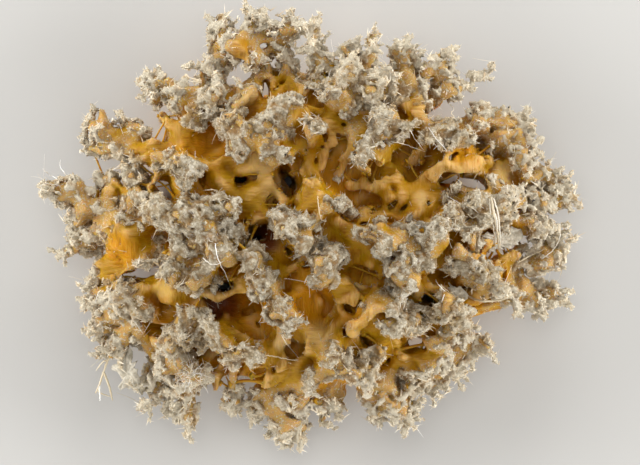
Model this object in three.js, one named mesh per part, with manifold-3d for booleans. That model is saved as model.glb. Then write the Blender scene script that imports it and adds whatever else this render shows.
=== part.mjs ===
// A sea sponge: a low clump of amber flesh that grew as one piece, with caves, struts and through holes,
// knobs that stand up from it, and lobes and fingers all round its rim. It was broken off the rock that it
// grew on, and it rests on that flat face. Millimetres, +Z up, with the origin on the flat face under the
// clump's middle.
import * as THREE from "three";
import { mergeVertices } from "three/addons/utils/BufferGeometryUtils.js";
import Module from "manifold-3d";

// The mound that everything grows from: the upper half of one ellipsoid on the lower half of a deeper one
const MOUND_X = 1.6;
const MOUND_HALF_WIDTH = 45;
const MOUND_HALF_DEPTH = 34;
const RIM_Z = 14;
const CROWN_Z = 31;
const ROOT_DEPTH = 18;

// How softly one form runs into the next, and how much of a thin form's girth that soft joint adds
const BODY_BLEND = 1.8;
const WELL_BLEND = 1.8;
const BAR_BLEND = 1.4;
const HOLE_BLEND = 1;
const JOINT_SWELL = 0.5;
const THINNEST = 0.45;

// Knobs stand this far above the mound, and taper down to a foot that leans in towards the middle
const KNOB_STAND = 3.6;
const KNOB_SUNK = 0.55;
const FOOT_LEAN = 0.82;
const FOOT_HEIGHT = 0.4;
const FOOT_LOWEST = 2;
const FOOT_GIRTH = 0.5;

// A form's joint reaches this far past it, and a slot with this floor goes right through
const REACH = 4;
const NO_FLOOR = -100;

// Slow waves that keep the clump from looking turned: [size, waves per mm along x and y, start]
const WAVES_X = [[0.6, 0, 0.52, 1], [0.35, 0.5, 1.1, 0]];
const WAVES_Y = [[0.6, 0.47, 0, 2], [0.35, 1.05, -0.4, 0]];
const WAVES_Z = [[1.2, 0.37, 0.41, 0], [0.5, 0.8, -0.9, 0]];

// The surface is traced on cells of this size, then thinned to this many triangles
const CELL = 1.35;
const TRIANGLES = 9700;
const LOW = [-58, -48, -3];
const HIGH = [60, 50, 42];

// Crusty knobs: [x, y, radius, lift]
const KNOBS = [
  // top, left of the middle
  [-2, 25, 4.5, 0], [-4, 21, 3.5, 0.5], [3, 20, 2.5, 1], [-11, 28, 3.2, 0.5], [-14, 22, 3, 0],
  [-12, 18, 3.8, 1], [-8, 19, 3, 0.5], [-5, 15, 3.5, 1], [-23, 26, 4, 0], [-18, 27, 4, 0],
  [-21, 22, 2.6, 0],
  // top right
  [10, 31, 5, 0], [8, 26, 3.5, 0], [16, 29, 4.5, 0.5], [21, 30, 4, 0], [22, 35, 3.6, -1],
  [26, 26, 3.5, 0], [30, 29, 3.5, 0], [17, 20.5, 3.4, 1.5], [14, 17, 2.5, 1], [20, 21, 2.8, 1],
  [28, 20, 3.2, 0], [32, 18.5, 3, 0],
  // right upper lobe
  [37.5, 23, 3.2, 0], [42, 21, 3.5, 0], [41, 17.6, 2.6, 0.5], [46, 16.5, 3.4, 0], [47, 12.5, 2.8, 0],
  [50, 7, 2.6, 0], [33, 1, 3.2, 0.5], [37, 3, 4, 0.5], [42, 3.5, 3.8, 0.5], [45, 6, 3, 0],
  [36, -1.5, 2.5, 0], [50, 1, 2.6, 0],
  // left
  [-25, 13.5, 2.8, 0.5], [-28, 15, 2.5, 0], [-23.5, 11, 3, 0.5], [-29, 4, 3.5, 0], [-25, 3, 4, 0.5],
  [-19, 2.5, 4, 1], [-15, 4, 3, 0.5], [-24, -3, 4, 0.5], [-17, -4, 4.2, 1], [-20, -9, 4.2, 0.5],
  [-25, -8, 4, 0], [-13, 0, 2.5, 0],
  // middle
  [-9.5, -7, 3.6, 1], [-6.5, -11.5, 4, 1], [-3.5, -16, 3.6, 1], [-1.6, -19.5, 2.6, 0.5],
  [-2.5, 1.5, 3, 1], [0.5, -2, 3, 0.5], [6, 4, 2.5, 1], [9, 6.5, 2.2, 1], [3.5, 1.5, 2.4, 1],
  [6, -7, 3.8, 1], [5, -11, 3, 0.5], [17, -2.5, 3.5, 1], [21, -3, 4, 1.2], [25, -4, 4, 1],
  [22, -8.5, 4, 1], [28, -2, 3, 0.5], [14.5, -1.5, 2.4, 0.5],
  // right lower ridges
  [12, -19, 2.4, 0.5], [15, -17, 2.8, 0.5], [18, -15.5, 2.8, 0.5], [20, -20, 2.4, 0.5],
  [24, -19, 2.8, 0.5], [28, -17.5, 2.8, 0.5], [30.5, -15.6, 2.4, 0.5], [33, -7, 3, 0.5],
  [37, -9.5, 3.3, 0.8], [41, -12, 3.3, 0.5], [44, -13.5, 3, 0], [33, -20, 3.4, 0.5], [35, -22.5, 3, 0],
  [30, -24, 3.2, 0],
  // bottom
  [8, -27.5, 4, 0.5], [12, -29.5, 3.5, 0.5], [4, -31, 4, 0], [1, -34, 4, 0], [15, -27.5, 2.8, 0],
  [18, -33, 3.4, 0], [24, -31, 3.4, 0], [27, -28, 3.2, 0], [-14.5, -23, 2.6, 0.5], [-12, -26, 3, 0.5],
  [-9, -28, 2.7, 0.3], [-22, -31, 3, 0.3],
  // bottom left
  [-24, -19.5, 4, 0.5], [-21, -23, 3.5, 0.3], [-27, -23, 3, 0], [-26, -28, 4, 0], [-18, -20, 2.7, 0.5],
  [-36, -14, 3.2, 0.5], [-33, -17, 2.6, 0.3], [-39.5, -18, 4, 0], [-36, -22, 4, 0],
];

// Lobes and fingers of the rim: [x, y, z, radius] at the root, then at the tip
const LIMBS = [
  // left lower arm, with its two ends and three fingers
  [-33, 1, 12, 4.6, -44, 2.4, 14, 3.8], [-43, 3, 14, 3.8, -50, 8, 15, 2.6],
  [-50, 8, 15, 2.2, -53.6, 10.6, 15.5, 1], [-43, -0.6, 13, 3.6, -47.5, -4.8, 12.5, 2.5],
  [-44, 4, 15, 1.8, -46, 8.4, 16, 1.2], [-37, 4.4, 14, 2, -41, 11.4, 15.4, 1.5],
  [-33, 5, 15, 2.6, -34.6, 12, 16.5, 1.1],
  // left upper arm, with its tips
  [-28, 17, 14, 4, -37, 18.4, 14, 3.6], [-36, 18, 14, 3.8, -41, 20.5, 14, 3.4],
  [-41, 21, 14, 2.8, -45, 22, 14.5, 1.3], [-40, 18.4, 13, 2.6, -44.4, 15.8, 13, 1.2],
  [-37, 20.4, 14, 3, -35.2, 27.6, 15, 1.3], [-39.4, 21, 14, 2.4, -38.4, 25, 15, 1.2],
  [-41.4, 22, 14, 2, -41, 25, 14.6, 1.1], [-34, 15.4, 13, 2.6, -38, 13.8, 13, 1.6],
  // post with a head beside the bay
  [-28.2, 16, 14, 2.4, -28.4, 23, 15, 1.8], [-28.4, 23, 15, 1.9, -30.8, 28.2, 16, 2.8],
  [-30.8, 28.2, 16, 2.8, -30.6, 31.4, 16.5, 2.1],
  // upper left spikes and the tall finger
  [-26, 27, 17, 2.7, -27.4, 31.6, 18, 1.7], [-22, 28, 18, 2.6, -20.6, 33.4, 18, 1.2],
  [-17.4, 27, 18, 2.3, -17, 35.6, 19, 1.9],
  // pouch at the top, with its knob, spikes and the web beside it
  [-8, 29, 17, 3.2, -8.6, 34.5, 18, 2.5], [-8.6, 34, 18, 2.8, -12, 37, 19, 4.2],
  [-12, 37, 19, 4, -15.5, 40, 19, 2.8], [-10, 37, 19, 3.8, -9.6, 43, 19.5, 2.5],
  [-15.5, 38.5, 19, 2.2, -18.2, 38.6, 19, 1.3], [-8, 39, 19, 2.6, -5.8, 43.8, 20, 1.2],
  [-6, 40, 19, 2.4, -2.6, 41.5, 19, 2], [-2.6, 41.5, 19, 2, 0.4, 43, 20, 1.6],
  [-3, 41, 19, 2, -3, 32, 19, 2.5],
  // fingers at the top
  [3.6, 33, 19, 2.5, 2.6, 42, 21, 1.6], [11.6, 34.4, 19, 2.4, 10.6, 41.8, 21, 1.6],
  [12, 36.4, 19.5, 1.5, 14, 38, 20, 1.1], [13.4, 34, 20, 1.9, 16.6, 39.8, 22, 1.6],
  [25.6, 33.6, 18, 2, 30, 37, 19, 1.2], [29, 32, 17, 2.2, 32, 35.8, 18, 1.1],
  [30, 31, 17, 2.6, 35.4, 33, 17.5, 1.1], [31, 28.5, 16, 3.2, 33, 27.5, 16, 2],
  // right upper lobe
  [30, 16, 14, 3.5, 38, 22.5, 15, 3.2], [38, 22.5, 15, 3.2, 44, 20, 14, 3.4],
  [44, 19.5, 14, 3.4, 47.5, 13, 13, 3], [38, 8, 12, 3, 47, 11, 13, 3.2],
  [47, 9.6, 12, 3, 54, 12.2, 13, 1.8], [46, 7, 12, 3.6, 53.6, 6, 12, 2.6],
  [42, 2, 11, 3.6, 52.4, -0.4, 11, 3], [50, 4, 12, 2, 52.6, 9, 12, 2],
  [46.8, 3, 12, 1.9, 46.8, -4.5, 12, 1.6], [46.8, -4.5, 12, 1.7, 40, -7.6, 13, 2],
  // right lower lobe
  [38, -11, 13, 2.4, 48, -7.8, 13, 2.2], [48, -7.8, 13, 2.2, 53.6, -4.8, 13, 2.3],
  [42, -12, 12, 3.4, 50, -12.6, 12, 3], [50, -12.6, 12, 2.6, 54.6, -12.8, 12, 1.4],
  [40, -14, 11, 3, 49, -15.4, 11, 2.4],
  // lower right lobe
  [30, -13, 13, 2.6, 31, -21, 12, 3.6], [31, -21.5, 12, 4.4, 34, -24, 12, 3.6],
  [34, -23.5, 12, 3.2, 39, -23.2, 12, 1.7], [26, -26, 12, 4, 31, -28, 12, 2.8],
  [20, -29, 12, 4, 27.4, -31.6, 12, 3.4],
  // bottom lobes
  [16, -31, 13, 4, 20, -36.5, 12, 4], [20, -36, 12, 3.8, 24.4, -36.5, 12, 2.4],
  [17, -37, 12, 3, 15, -40.2, 12, 1.4], [6, -32, 13, 4, 7, -36, 13, 2.6],
  [5, -36, 12, 2.2, 5, -41.4, 12, 1.2], [-3, -32, 13, 5, -3.5, -40, 12, 4],
  [-2, -40, 12, 3, -0.4, -43, 12, 2.2], [-5, -37, 12, 3, -9, -37.5, 12, 2.4],
  [-8, -35, 12, 2.6, -13, -35.2, 12, 2], [-20, -28, 13, 3, -22.4, -36, 12, 2.2],
  [-22.4, -36, 12, 2.2, -22.6, -39.2, 12, 2], [-22, -38.4, 12, 1.6, -20.4, -40.2, 12, 1.1],
  [-27, -28, 12, 2.8, -29, -35.2, 11, 1.4], [-30, -27, 12, 2.6, -32, -33.6, 11, 1.3],
  [-24, -30, 12, 2.2, -25.6, -33.6, 12, 1.4],
  // left bottom lobe
  [-36, -17, 13, 4, -41, -16, 13, 2.8], [-41, -16, 13, 2.6, -44, -16.4, 13, 1.3],
  [-37, -20, 12, 4, -41, -21.6, 12, 2.5], [-38, -14, 13, 2.8, -42, -12.6, 13, 1.8],
  [-34, -22, 12, 3.6, -38.6, -24.6, 11.5, 2],
  // left plate, which leans down to the left, and the crumbs at its end
  [-36.6, -8.6, 14, 2.4, -29.6, -1.6, 18, 4], [-33, -4.6, 15, 3, -39.6, -5, 14, 2.2],
  [-36, -7, 14, 2.8, -41, -8.6, 14, 2.2], [-38, -9, 14, 2, -40.6, -11.2, 13, 1.4],
];

// Folds and struts of flesh inside: [x, y, depth under the mound, radius] at one end, then at the other
const BARS = [
  // tongue and cup, upper left of the middle
  [-16, 9.4, 2, 2.8, -9.6, 6.4, 2, 2.8], [-9.6, 6.4, 2, 2.8, -6.6, 1.6, 3, 2.2],
  [-13, 13.4, 1.4, 2.2, -8, 12.8, 1, 2.4], [-8, 12.8, 1, 2.2, -3.6, 13.4, 1.5, 1.6],
  [-6.4, 9, 1.5, 1.6, -3.8, 6.4, 1, 1.6],
  // bright wall below the middle
  [1, -12, 1.5, 3.2, 3, -20.5, 3, 3.4],
  // smooth bars over the right hole
  [28, 11.4, -2, 1.7, 36, 14.4, -3.5, 1.9], [36, 14.4, -3.5, 1.9, 44, 13.6, -2.5, 1.6],
  [30, 11.8, 2, 1.5, 37, 12.8, 0, 1.6], [37, 12.8, 0, 1.6, 43, 10, 0, 2.2],
  // long bars of the lower left
  [9, -17, -0.5, 1.4, 6.4, -26, -0.5, 1.6], [-34, -13, -0.5, 1.8, -26, -13.2, -0.5, 1.7],
  [-27, -13.4, -0.5, 1.5, -20, -13.2, -1, 1.4], [-20, -13.2, -1, 1.4, -13, -11.8, -1, 1.4],
  [-7, -27, 0.5, 1, 2, -27.6, 0, 1], [-3.5, -18, -0.5, 1, -3.6, -27, 0, 1],
  // folds of the two basins, upper right of the middle
  [7, 22, 0, 1.4, 5, 12.4, 3, 1.2], [11, 20, 0, 1.3, 9.4, 11, 4, 1.1], [3, 18, 1, 1.2, 1.6, 10.4, 3, 1.2],
  [15.6, 13, 1.5, 1.2, 18, 2, 4, 1.2], [20, 13, 2, 1.2, 21.4, 2, 4, 1.2],
  [26, 12, 1.5, 1.3, 24, 1, 2, 1.3], [12, 9, 3, 1.3, 24, 10, 3.5, 1.2],
  // drapes at the bottom
  [16, -22, 0, 2.2, 20, -31, -0.5, 2.6], [19, -21, 0, 1.6, 24, -29, 0, 1.8],
  [-10.4, -27, 0, 1.2, -9.4, -35, -0.5, 1.3], [-7, -26, 0, 1.1, -5.6, -36, -1, 1.2],
  [-13.4, -27, 0, 1.2, -13, -34, -0.5, 1.2], [-17, -24, 0, 1.2, -17.4, -32, -0.5, 1.2],
];

// Round mouths: [x, y, depth under the mound, ring radius, wire radius]
const MOUTHS = [
  [25.4, 6.4, 3, 2.4, 1], [13.6, -10.4, 0, 4.3, 1.3],
];
const MOUTH_SIDES = 10;

// Caves open to the top: [x, y] of one end of the slot, [x, y] of the other, radius, depth under the mound
const CAVES = [
  [-20.5, 17, -17, 15, 3.2, 5], [-20, 20, -18, 18, 2, 4], [-13, 37.5, -10, 35.5, 2.4, 0],
  [6, 19, 8, 12, 4.6, 9], [2, 14, 11, 13, 3.2, 8], [13, 7, 23, 6, 5.2, 9], [18, 10, 26, 9, 3.8, 8],
  [23, 17, 27, 14, 3, 7], [19, 24.6, 25, 24, 1.9, 5], [3.6, 27.5, 6, 27, 2, 5],
  [-2.4, 33, -2, 29, 1.5, 4], [-15, 8, -6, 6, 4.8, 9], [-7, 10.6, -3, 10, 2.6, 9],
  [-9, -1.4, -4, -3.4, 3, 9], [-15, -8.5, -13.6, -6.4, 2.4, 6], [-16, -15, -12, -17, 4, 11],
  [0, -12, 4, -21, 4.4, 6], [11, -17, 10, -22, 3, 12], [13.6, -10.4, 13.8, -10.4, 3.5, 7],
  [-33, -17, -28, -18, 3.2, 9], [-9, -22, -1, -23, 3, 8], [-20, -27, -15, -29, 3.2, 8],
  [-12, -31, -6, -32, 2.8, 5], [6, -34, 12, -33, 2, 6], [16, -25, 21, -28, 3.2, 6],
  [23, -25, 27, -24, 2.8, 9], [30, 12.4, 43, 15.4, 1.6, 5], [28, -11, 35, -12.5, 2.1, 8],
  [37, -3, 44, -1.4, 2.6, 8], [18, -12.6, 22, -13, 1.7, 5], [-33, -5.4, -28, -1, 2.4, 4],
];

// Caves that open in the flank, under the rim: [x, y, z] outside, [x, y, z] at the inner end, radius
const FLANK_CAVES = [
  [-34, -20, 6, -18, -11, 8, 3.2], [-42, 3, 6, -25, 1, 8, 3], [-30, 24, 6, -18, 13, 9, 3.3],
  [-6, 36, 7, -4, 20, 9, 3.2], [16, 34, 6, 11, 20, 9, 3.1], [34, 24, 6, 21, 13, 9, 3.3],
  [46, 4, 5, 29, 2, 8, 3], [40, -16, 6, 25, -9, 9, 3.1], [22, -33, 6, 14, -18, 9, 3.2],
  [3, -37, 6, 3, -22, 9, 3], [-16, -34, 6, -10, -21, 9, 3.1],
];

// Holes from top to bottom: [x, y] of one end of the slot, [x, y] of the other, radius
const HOLES = [
  [-31.6, 24.2, -31, 21.6, 2.6], [-26.2, 27.4, -25, 24, 1.1], [-13.6, 33.2, -9.8, 32.8, 1.8],
  [-6.8, 38.2, -5.4, 38.4, 0.7], [0.8, 40.6, 1, 37.4, 1.3], [-0.2, 34.4, 1, 34.4, 0.8],
  [-8.6, 29.4, -7.2, 26.4, 0.7], [-29.4, 9.2, -28.4, 8, 1.7], [-2.8, 11.4, -2.8, 10, 1.2],
  [-12.8, 10.6, -11.4, 10.2, 0.7], [29.6, 9.4, 31, 9, 1.4], [34.6, 10, 37, 9.4, 1.5],
  [31, 9.8, 35, 10.2, 0.9], [-10.6, -2.6, -8.2, -2, 1.1], [-36, -11.6, -33, -10, 1],
  [-33, -9.8, -29, -7.6, 2.2], [-18, -12.2, -14, -10.8, 0.6], [39.6, -5.4, 44.6, -4, 0.9],
  [26, -13.4, 27.6, -15, 1.3], [35, -12.2, 36.2, -12.4, 0.8], [14.2, -24, 14.2, -25.4, 1.1],
  [24.6, -25, 25.8, -24.4, 1.5], [-14.6, -37.4, -13.8, -37.8, 0.7], [-3.4, -35.6, -3.2, -37, 0.7],
];

// Bays cut into the outline, written as the holes are
const BAYS = [
  [-52, 14, -40, 13.8, 1.8], [-40, 13.6, -31, 11.8, 1.4], [-52, -9.6, -41, -8, 0.8],
  [-46, -6.6, -41.4, -2.4, 1.4], [-31.6, 24.2, -33, 33, 1.6], [38, 28, 29.4, 23.8, 2],
  [47, -22, 37.5, -18, 2.2], [-19, -44, -18, -36.6, 2.6], [-36.4, -28, -34.6, -26, 1.2],
  [58, -8.6, 51.6, -9.2, 0.9], [58, 3, 51.6, 2.6, 0.7], [12, -46, 11, -39, 2.4], [34, 40, 27, 40, 2],
];

// Keeps a division from ending in nothing
const TINY = 1e-6;

const smoothMin = (a, b, blend) => {
  const h = Math.min(1, Math.max(0, 0.5 + (0.5 * (b - a)) / blend));
  return b + (a - b) * h - blend * h * (1 - h);
};
const smoothMax = (a, b, blend) => -smoothMin(-a, -b, blend);

// Height of the mound's top over a point, and at the rim beyond it
function moundTop(x, y) {
  const reach = ((x - MOUND_X) / MOUND_HALF_WIDTH) ** 2 + (y / MOUND_HALF_DEPTH) ** 2;
  return RIM_Z + (CROWN_Z - RIM_Z) * Math.sqrt(Math.max(0, 1 - reach));
}

// Approximate distance to the mound, negative inside
function mound(x, y, z) {
  const height = z > RIM_Z ? CROWN_Z - RIM_Z : ROOT_DEPTH;
  const u = (x - MOUND_X) / MOUND_HALF_WIDTH;
  const v = y / MOUND_HALF_DEPTH;
  const w = (z - RIM_Z) / height;
  const reach = Math.hypot(u, v, w);
  const slope = Math.hypot(u / MOUND_HALF_WIDTH, v / MOUND_HALF_DEPTH, w / height);
  return (reach * (reach - 1)) / Math.max(slope, TINY);
}

// Distance to a round cone from a, of radius ra, to b, of radius rb
function roundCone(x, y, z, [ax, ay, az], ra, [bx, by, bz], rb) {
  const [dx, dy, dz] = [bx - ax, by - ay, bz - az];
  const length = Math.max(dx * dx + dy * dy + dz * dz, TINY);
  const along = ((x - ax) * dx + (y - ay) * dy + (z - az) * dz) / length;
  const t = Math.min(1, Math.max(0, along));
  return Math.hypot(x - ax - t * dx, y - ay - t * dy, z - az - t * dz) - (ra + t * (rb - ra));
}

// Distance to a slot with upright walls and a round floor
function slot(x, y, z, [x1, y1, x2, y2, radius], floor) {
  const [dx, dy] = [x2 - x1, y2 - y1];
  const along = ((x - x1) * dx + (y - y1) * dy) / Math.max(dx * dx + dy * dy, TINY);
  const t = Math.min(1, Math.max(0, along));
  return Math.hypot(x - x1 - t * dx, y - y1 - t * dy, Math.max(floor + radius - z, 0)) - radius;
}

function wave(terms, x, y) {
  let sum = 0;
  for (const [size, alongX, alongY, start] of terms) sum += size * Math.sin(alongX * x + alongY * y + start);
  return sum;
}

// A field of distances on a grid of points, which the forms are joined to and carved from in turn
class Field {
  constructor() {
    this.count = LOW.map((low, i) => Math.ceil((HIGH[i] - low) / CELL) + 1);
    const [nx, ny, nz] = this.count;
    this.value = new Float64Array(nx * ny * nz);
    this.place = new Float64Array(nx * ny * nz * 3);
    this.each([0, 0, 0], this.count, (index, i, j, k) => {
      const [x, y, z] = [LOW[0] + i * CELL, LOW[1] + j * CELL, LOW[2] + k * CELL];
      this.place[3 * index] = x + wave(WAVES_X, x, y);
      this.place[3 * index + 1] = y + wave(WAVES_Y, x, y);
      this.place[3 * index + 2] = z + wave(WAVES_Z, x, y);
      this.value[index] = mound(...this.place.subarray(3 * index, 3 * index + 3));
    });
  }

  each(from, to, visit) {
    const [, ny, nz] = this.count;
    for (let i = from[0]; i < to[0]; i++)
      for (let j = from[1]; j < to[1]; j++)
        for (let k = from[2]; k < to[2]; k++) visit((i * ny + j) * nz + k, i, j, k);
  }

  // Joins (or carves) a form that lies within reach of the box between two corners
  blend(low, high, reach, distance, joint) {
    const from = low.map((v, i) => Math.max(0, Math.floor((v - reach - LOW[i]) / CELL)));
    const to = high.map((v, i) => Math.min(this.count[i], Math.ceil((v + reach - LOW[i]) / CELL) + 1));
    this.each(from, to, (index) => {
      const [x, y, z] = this.place.subarray(3 * index, 3 * index + 3);
      this.value[index] = joint(this.value[index], distance(x, y, z));
    });
  }

  // Ends the form inside the grid's lowest layer, which the flat cut takes away later
  closeBelow() {
    const [nx, ny] = this.count;
    this.each([0, 0, 0], [nx, ny, 1], (index) => (this.value[index] = CELL));
  }

  joinCone(a, ra, b, rb, softness) {
    const low = a.map((v, i) => Math.min(v, b[i]));
    const high = a.map((v, i) => Math.max(v, b[i]));
    const distance = (x, y, z) => roundCone(x, y, z, a, ra, b, rb);
    this.blend(low, high, Math.max(ra, rb) + REACH, distance, (f, d) => smoothMin(f, d, softness));
  }

  carveCone(a, b, radius, softness) {
    const low = a.map((v, i) => Math.min(v, b[i]));
    const high = a.map((v, i) => Math.max(v, b[i]));
    const distance = (x, y, z) => roundCone(x, y, z, a, radius, b, radius);
    this.blend(low, high, radius + REACH, distance, (f, d) => smoothMax(f, -d, softness));
  }

  carveSlot(shape, floor, softness) {
    const [x1, y1, x2, y2, radius] = shape;
    const low = [Math.min(x1, x2), Math.min(y1, y2), Math.max(floor, LOW[2])];
    const high = [Math.max(x1, x2), Math.max(y1, y2), HIGH[2]];
    const distance = (x, y, z) => slot(x, y, z, shape, floor);
    this.blend(low, high, radius + REACH, distance, (f, d) => smoothMax(f, -d, softness));
  }
}

function grow() {
  const field = new Field();
  for (const [x1, y1, x2, y2, radius, depth] of CAVES)
    field.carveSlot([x1, y1, x2, y2, radius], moundTop((x1 + x2) / 2, (y1 + y2) / 2) - depth, WELL_BLEND);
  for (const [x1, y1, z1, x2, y2, z2, radius] of FLANK_CAVES)
    field.carveCone([x1, y1, z1], [x2, y2, z2], radius, WELL_BLEND);
  for (const [x, y, girth, lift] of KNOBS) {
    const radius = girth - JOINT_SWELL;
    const z = moundTop(x, y) + lift + KNOB_STAND - KNOB_SUNK * radius;
    const foot = [x * FOOT_LEAN, y * FOOT_LEAN, Math.max(FOOT_LOWEST, z * FOOT_HEIGHT)];
    field.joinCone([x, y, z], radius, foot, radius * FOOT_GIRTH, BODY_BLEND);
  }
  for (const [x1, y1, z1, r1, x2, y2, z2, r2] of LIMBS) {
    const [root, tip] = [Math.max(r1 - JOINT_SWELL, THINNEST), Math.max(r2 - JOINT_SWELL, THINNEST)];
    field.joinCone([x1, y1, z1], root, [x2, y2, z2], tip, BODY_BLEND);
  }
  for (const [x1, y1, depth1, r1, x2, y2, depth2, r2] of BARS) {
    const a = [x1, y1, moundTop(x1, y1) - depth1 - r1];
    const b = [x2, y2, moundTop(x2, y2) - depth2 - r2];
    field.joinCone(a, r1, b, r2, BAR_BLEND);
  }
  for (const [x, y, depth, ring, wire] of MOUTHS) {
    const z = moundTop(x, y) - depth - wire;
    const corner = (i) => {
      const turn = (2 * Math.PI * i) / MOUTH_SIDES;
      return [x + ring * Math.cos(turn), y + ring * Math.sin(turn), z];
    };
    for (let i = 0; i < MOUTH_SIDES; i++) field.joinCone(corner(i), wire, corner(i + 1), wire, BAR_BLEND);
  }
  for (const shape of [...HOLES, ...BAYS]) field.carveSlot(shape, NO_FLOOR, HOLE_BLEND);
  field.closeBelow();
  return field;
}

// Each grid cell is six tetrahedra round its main diagonal. A corner's number, in bits, says which way it
// lies from corner 0, and RING goes round the diagonal.
const RING = [1, 3, 2, 6, 4, 5];
// The corners of a tetrahedron in an order that faces out, starting with the one that is alone
const FIRST = [[0, 1, 2, 3], [1, 0, 3, 2], [2, 3, 0, 1], [3, 2, 1, 0]];
// The same for two corners inside, by the sum of their bits
const PAIR = {
  3: [0, 1, 2, 3], 5: [0, 2, 3, 1], 9: [0, 3, 1, 2],
  6: [1, 2, 0, 3], 10: [1, 3, 2, 0], 12: [2, 3, 0, 1],
};
// A crossing stays this share of its edge away from either end
const CLEAR = 0.08;

// The closed surface where the field is zero, as points and triangles facing out
function trace(field) {
  const [nx, ny, nz] = field.count;
  const points = [];
  const faces = [];
  const crossings = new Map();
  const stepTo = [0, 1, 2, 3, 4, 5, 6, 7].map((c) => (c & 1) * ny * nz + ((c >> 1) & 1) * nz + (c >> 2));
  const corners = (index) => {
    const k = index % nz;
    const j = Math.floor(index / nz) % ny;
    return [LOW[0] + Math.floor(index / (ny * nz)) * CELL, LOW[1] + j * CELL, LOW[2] + k * CELL];
  };
  const crossing = (p, q) => {
    const key = Math.min(p, q) * field.value.length + Math.max(p, q);
    if (!crossings.has(key)) {
      const share = field.value[p] / (field.value[p] - field.value[q]);
      const t = Math.min(1 - CLEAR, Math.max(CLEAR, share));
      const [a, b] = [corners(p), corners(q)];
      crossings.set(key, points.length / 3);
      points.push(...a.map((v, i) => v + t * (b[i] - v)));
    }
    return crossings.get(key);
  };
  field.each([0, 0, 0], [nx - 1, ny - 1, nz - 1], (index) => {
    const inside = stepTo.filter((step) => field.value[index + step] < 0).length;
    if (inside === 0 || inside === 8) return;
    RING.forEach((first, turn) => {
      const four = [0, first, RING[(turn + 1) % 6], 7].map((c) => index + stepTo[c]);
      const mask = four.reduce((sum, p, i) => sum + (field.value[p] < 0 ? 1 << i : 0), 0);
      if (mask === 0 || mask === 15) return;
      if (PAIR[mask]) {
        const [a, b, c, d] = PAIR[mask].map((i) => four[i]);
        const [ac, ad, bd, bc] = [crossing(a, c), crossing(a, d), crossing(b, d), crossing(b, c)];
        faces.push([ac, ad, bd], [ac, bd, bc]);
        return;
      }
      const oneInside = [1, 2, 4, 8].includes(mask);
      const alone = [1, 2, 4, 8].indexOf(oneInside ? mask : 15 - mask);
      const [a, b, c, d] = FIRST[alone].map((i) => four[i]);
      const [ab, ac, ad] = [crossing(a, b), crossing(a, c), crossing(a, d)];
      faces.push(oneInside ? [ab, ac, ad] : [ab, ad, ac]);
    });
  });
  return { points, faces };
}

// The largest connected piece of a surface, which leaves out crumbs that touch nothing and sealed bubbles
function largestPiece({ points, faces }) {
  const parent = Int32Array.from({ length: points.length / 3 }, (_, i) => i);
  const rootOf = (i) => {
    while (parent[i] !== i) i = parent[i] = parent[parent[i]];
    return i;
  };
  for (const [a, b, c] of faces) {
    parent[rootOf(b)] = rootOf(a);
    parent[rootOf(c)] = rootOf(a);
  }
  const sizes = new Map();
  for (const [a] of faces) sizes.set(rootOf(a), (sizes.get(rootOf(a)) ?? 0) + 1);
  const largest = [...sizes].reduce((best, entry) => (entry[1] > best[1] ? entry : best))[0];
  return { points, faces: faces.filter(([a]) => rootOf(a) === largest) };
}

const cross = (a, b) => [a[1] * b[2] - a[2] * b[1], a[2] * b[0] - a[0] * b[2], a[0] * b[1] - a[1] * b[0]];
const dot = (a, b) => a[0] * b[0] + a[1] * b[1] + a[2] * b[2];
const minus = (a, b) => [a[0] - b[0], a[1] - b[1], a[2] - b[2]];

// A triangle's height as a share of its longest side, from two of its sides
function heightShare(u, v) {
  const across = minus(u, v);
  return Math.hypot(...cross(u, v)) / Math.max(dot(u, u), dot(v, v), dot(across, across), 1e-12);
}

// A queue that gives back its lowest entry first
class Queue {
  items = [];

  push(item) {
    let i = this.items.push(item) - 1;
    while (i > 0 && this.items[(i - 1) >> 1].cost > item.cost) {
      this.items[i] = this.items[(i - 1) >> 1];
      i = (i - 1) >> 1;
    }
    this.items[i] = item;
  }

  pop() {
    const [top, last] = [this.items[0], this.items.pop()];
    const size = this.items.length;
    if (size === 0) return top;
    let i = 0;
    for (;;) {
      let child = 2 * i + 1;
      if (child >= size) break;
      if (child + 1 < size && this.items[child + 1].cost < this.items[child].cost) child++;
      if (this.items[child].cost >= last.cost) break;
      this.items[i] = this.items[child];
      i = child;
    }
    this.items[i] = last;
    return top;
  }
}

// A merge may turn a triangle by no more than this cosine, and may not leave it flatter than this height
const LEAST_TURN = 0.2;
const LEAST_HEIGHT = 0.08;
// What a long edge costs, and how much a merged point is held to the middle of its edge
const EVENNESS = 0.004;
const HOLD = 1e-3;
const PASSES = 6;

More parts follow.
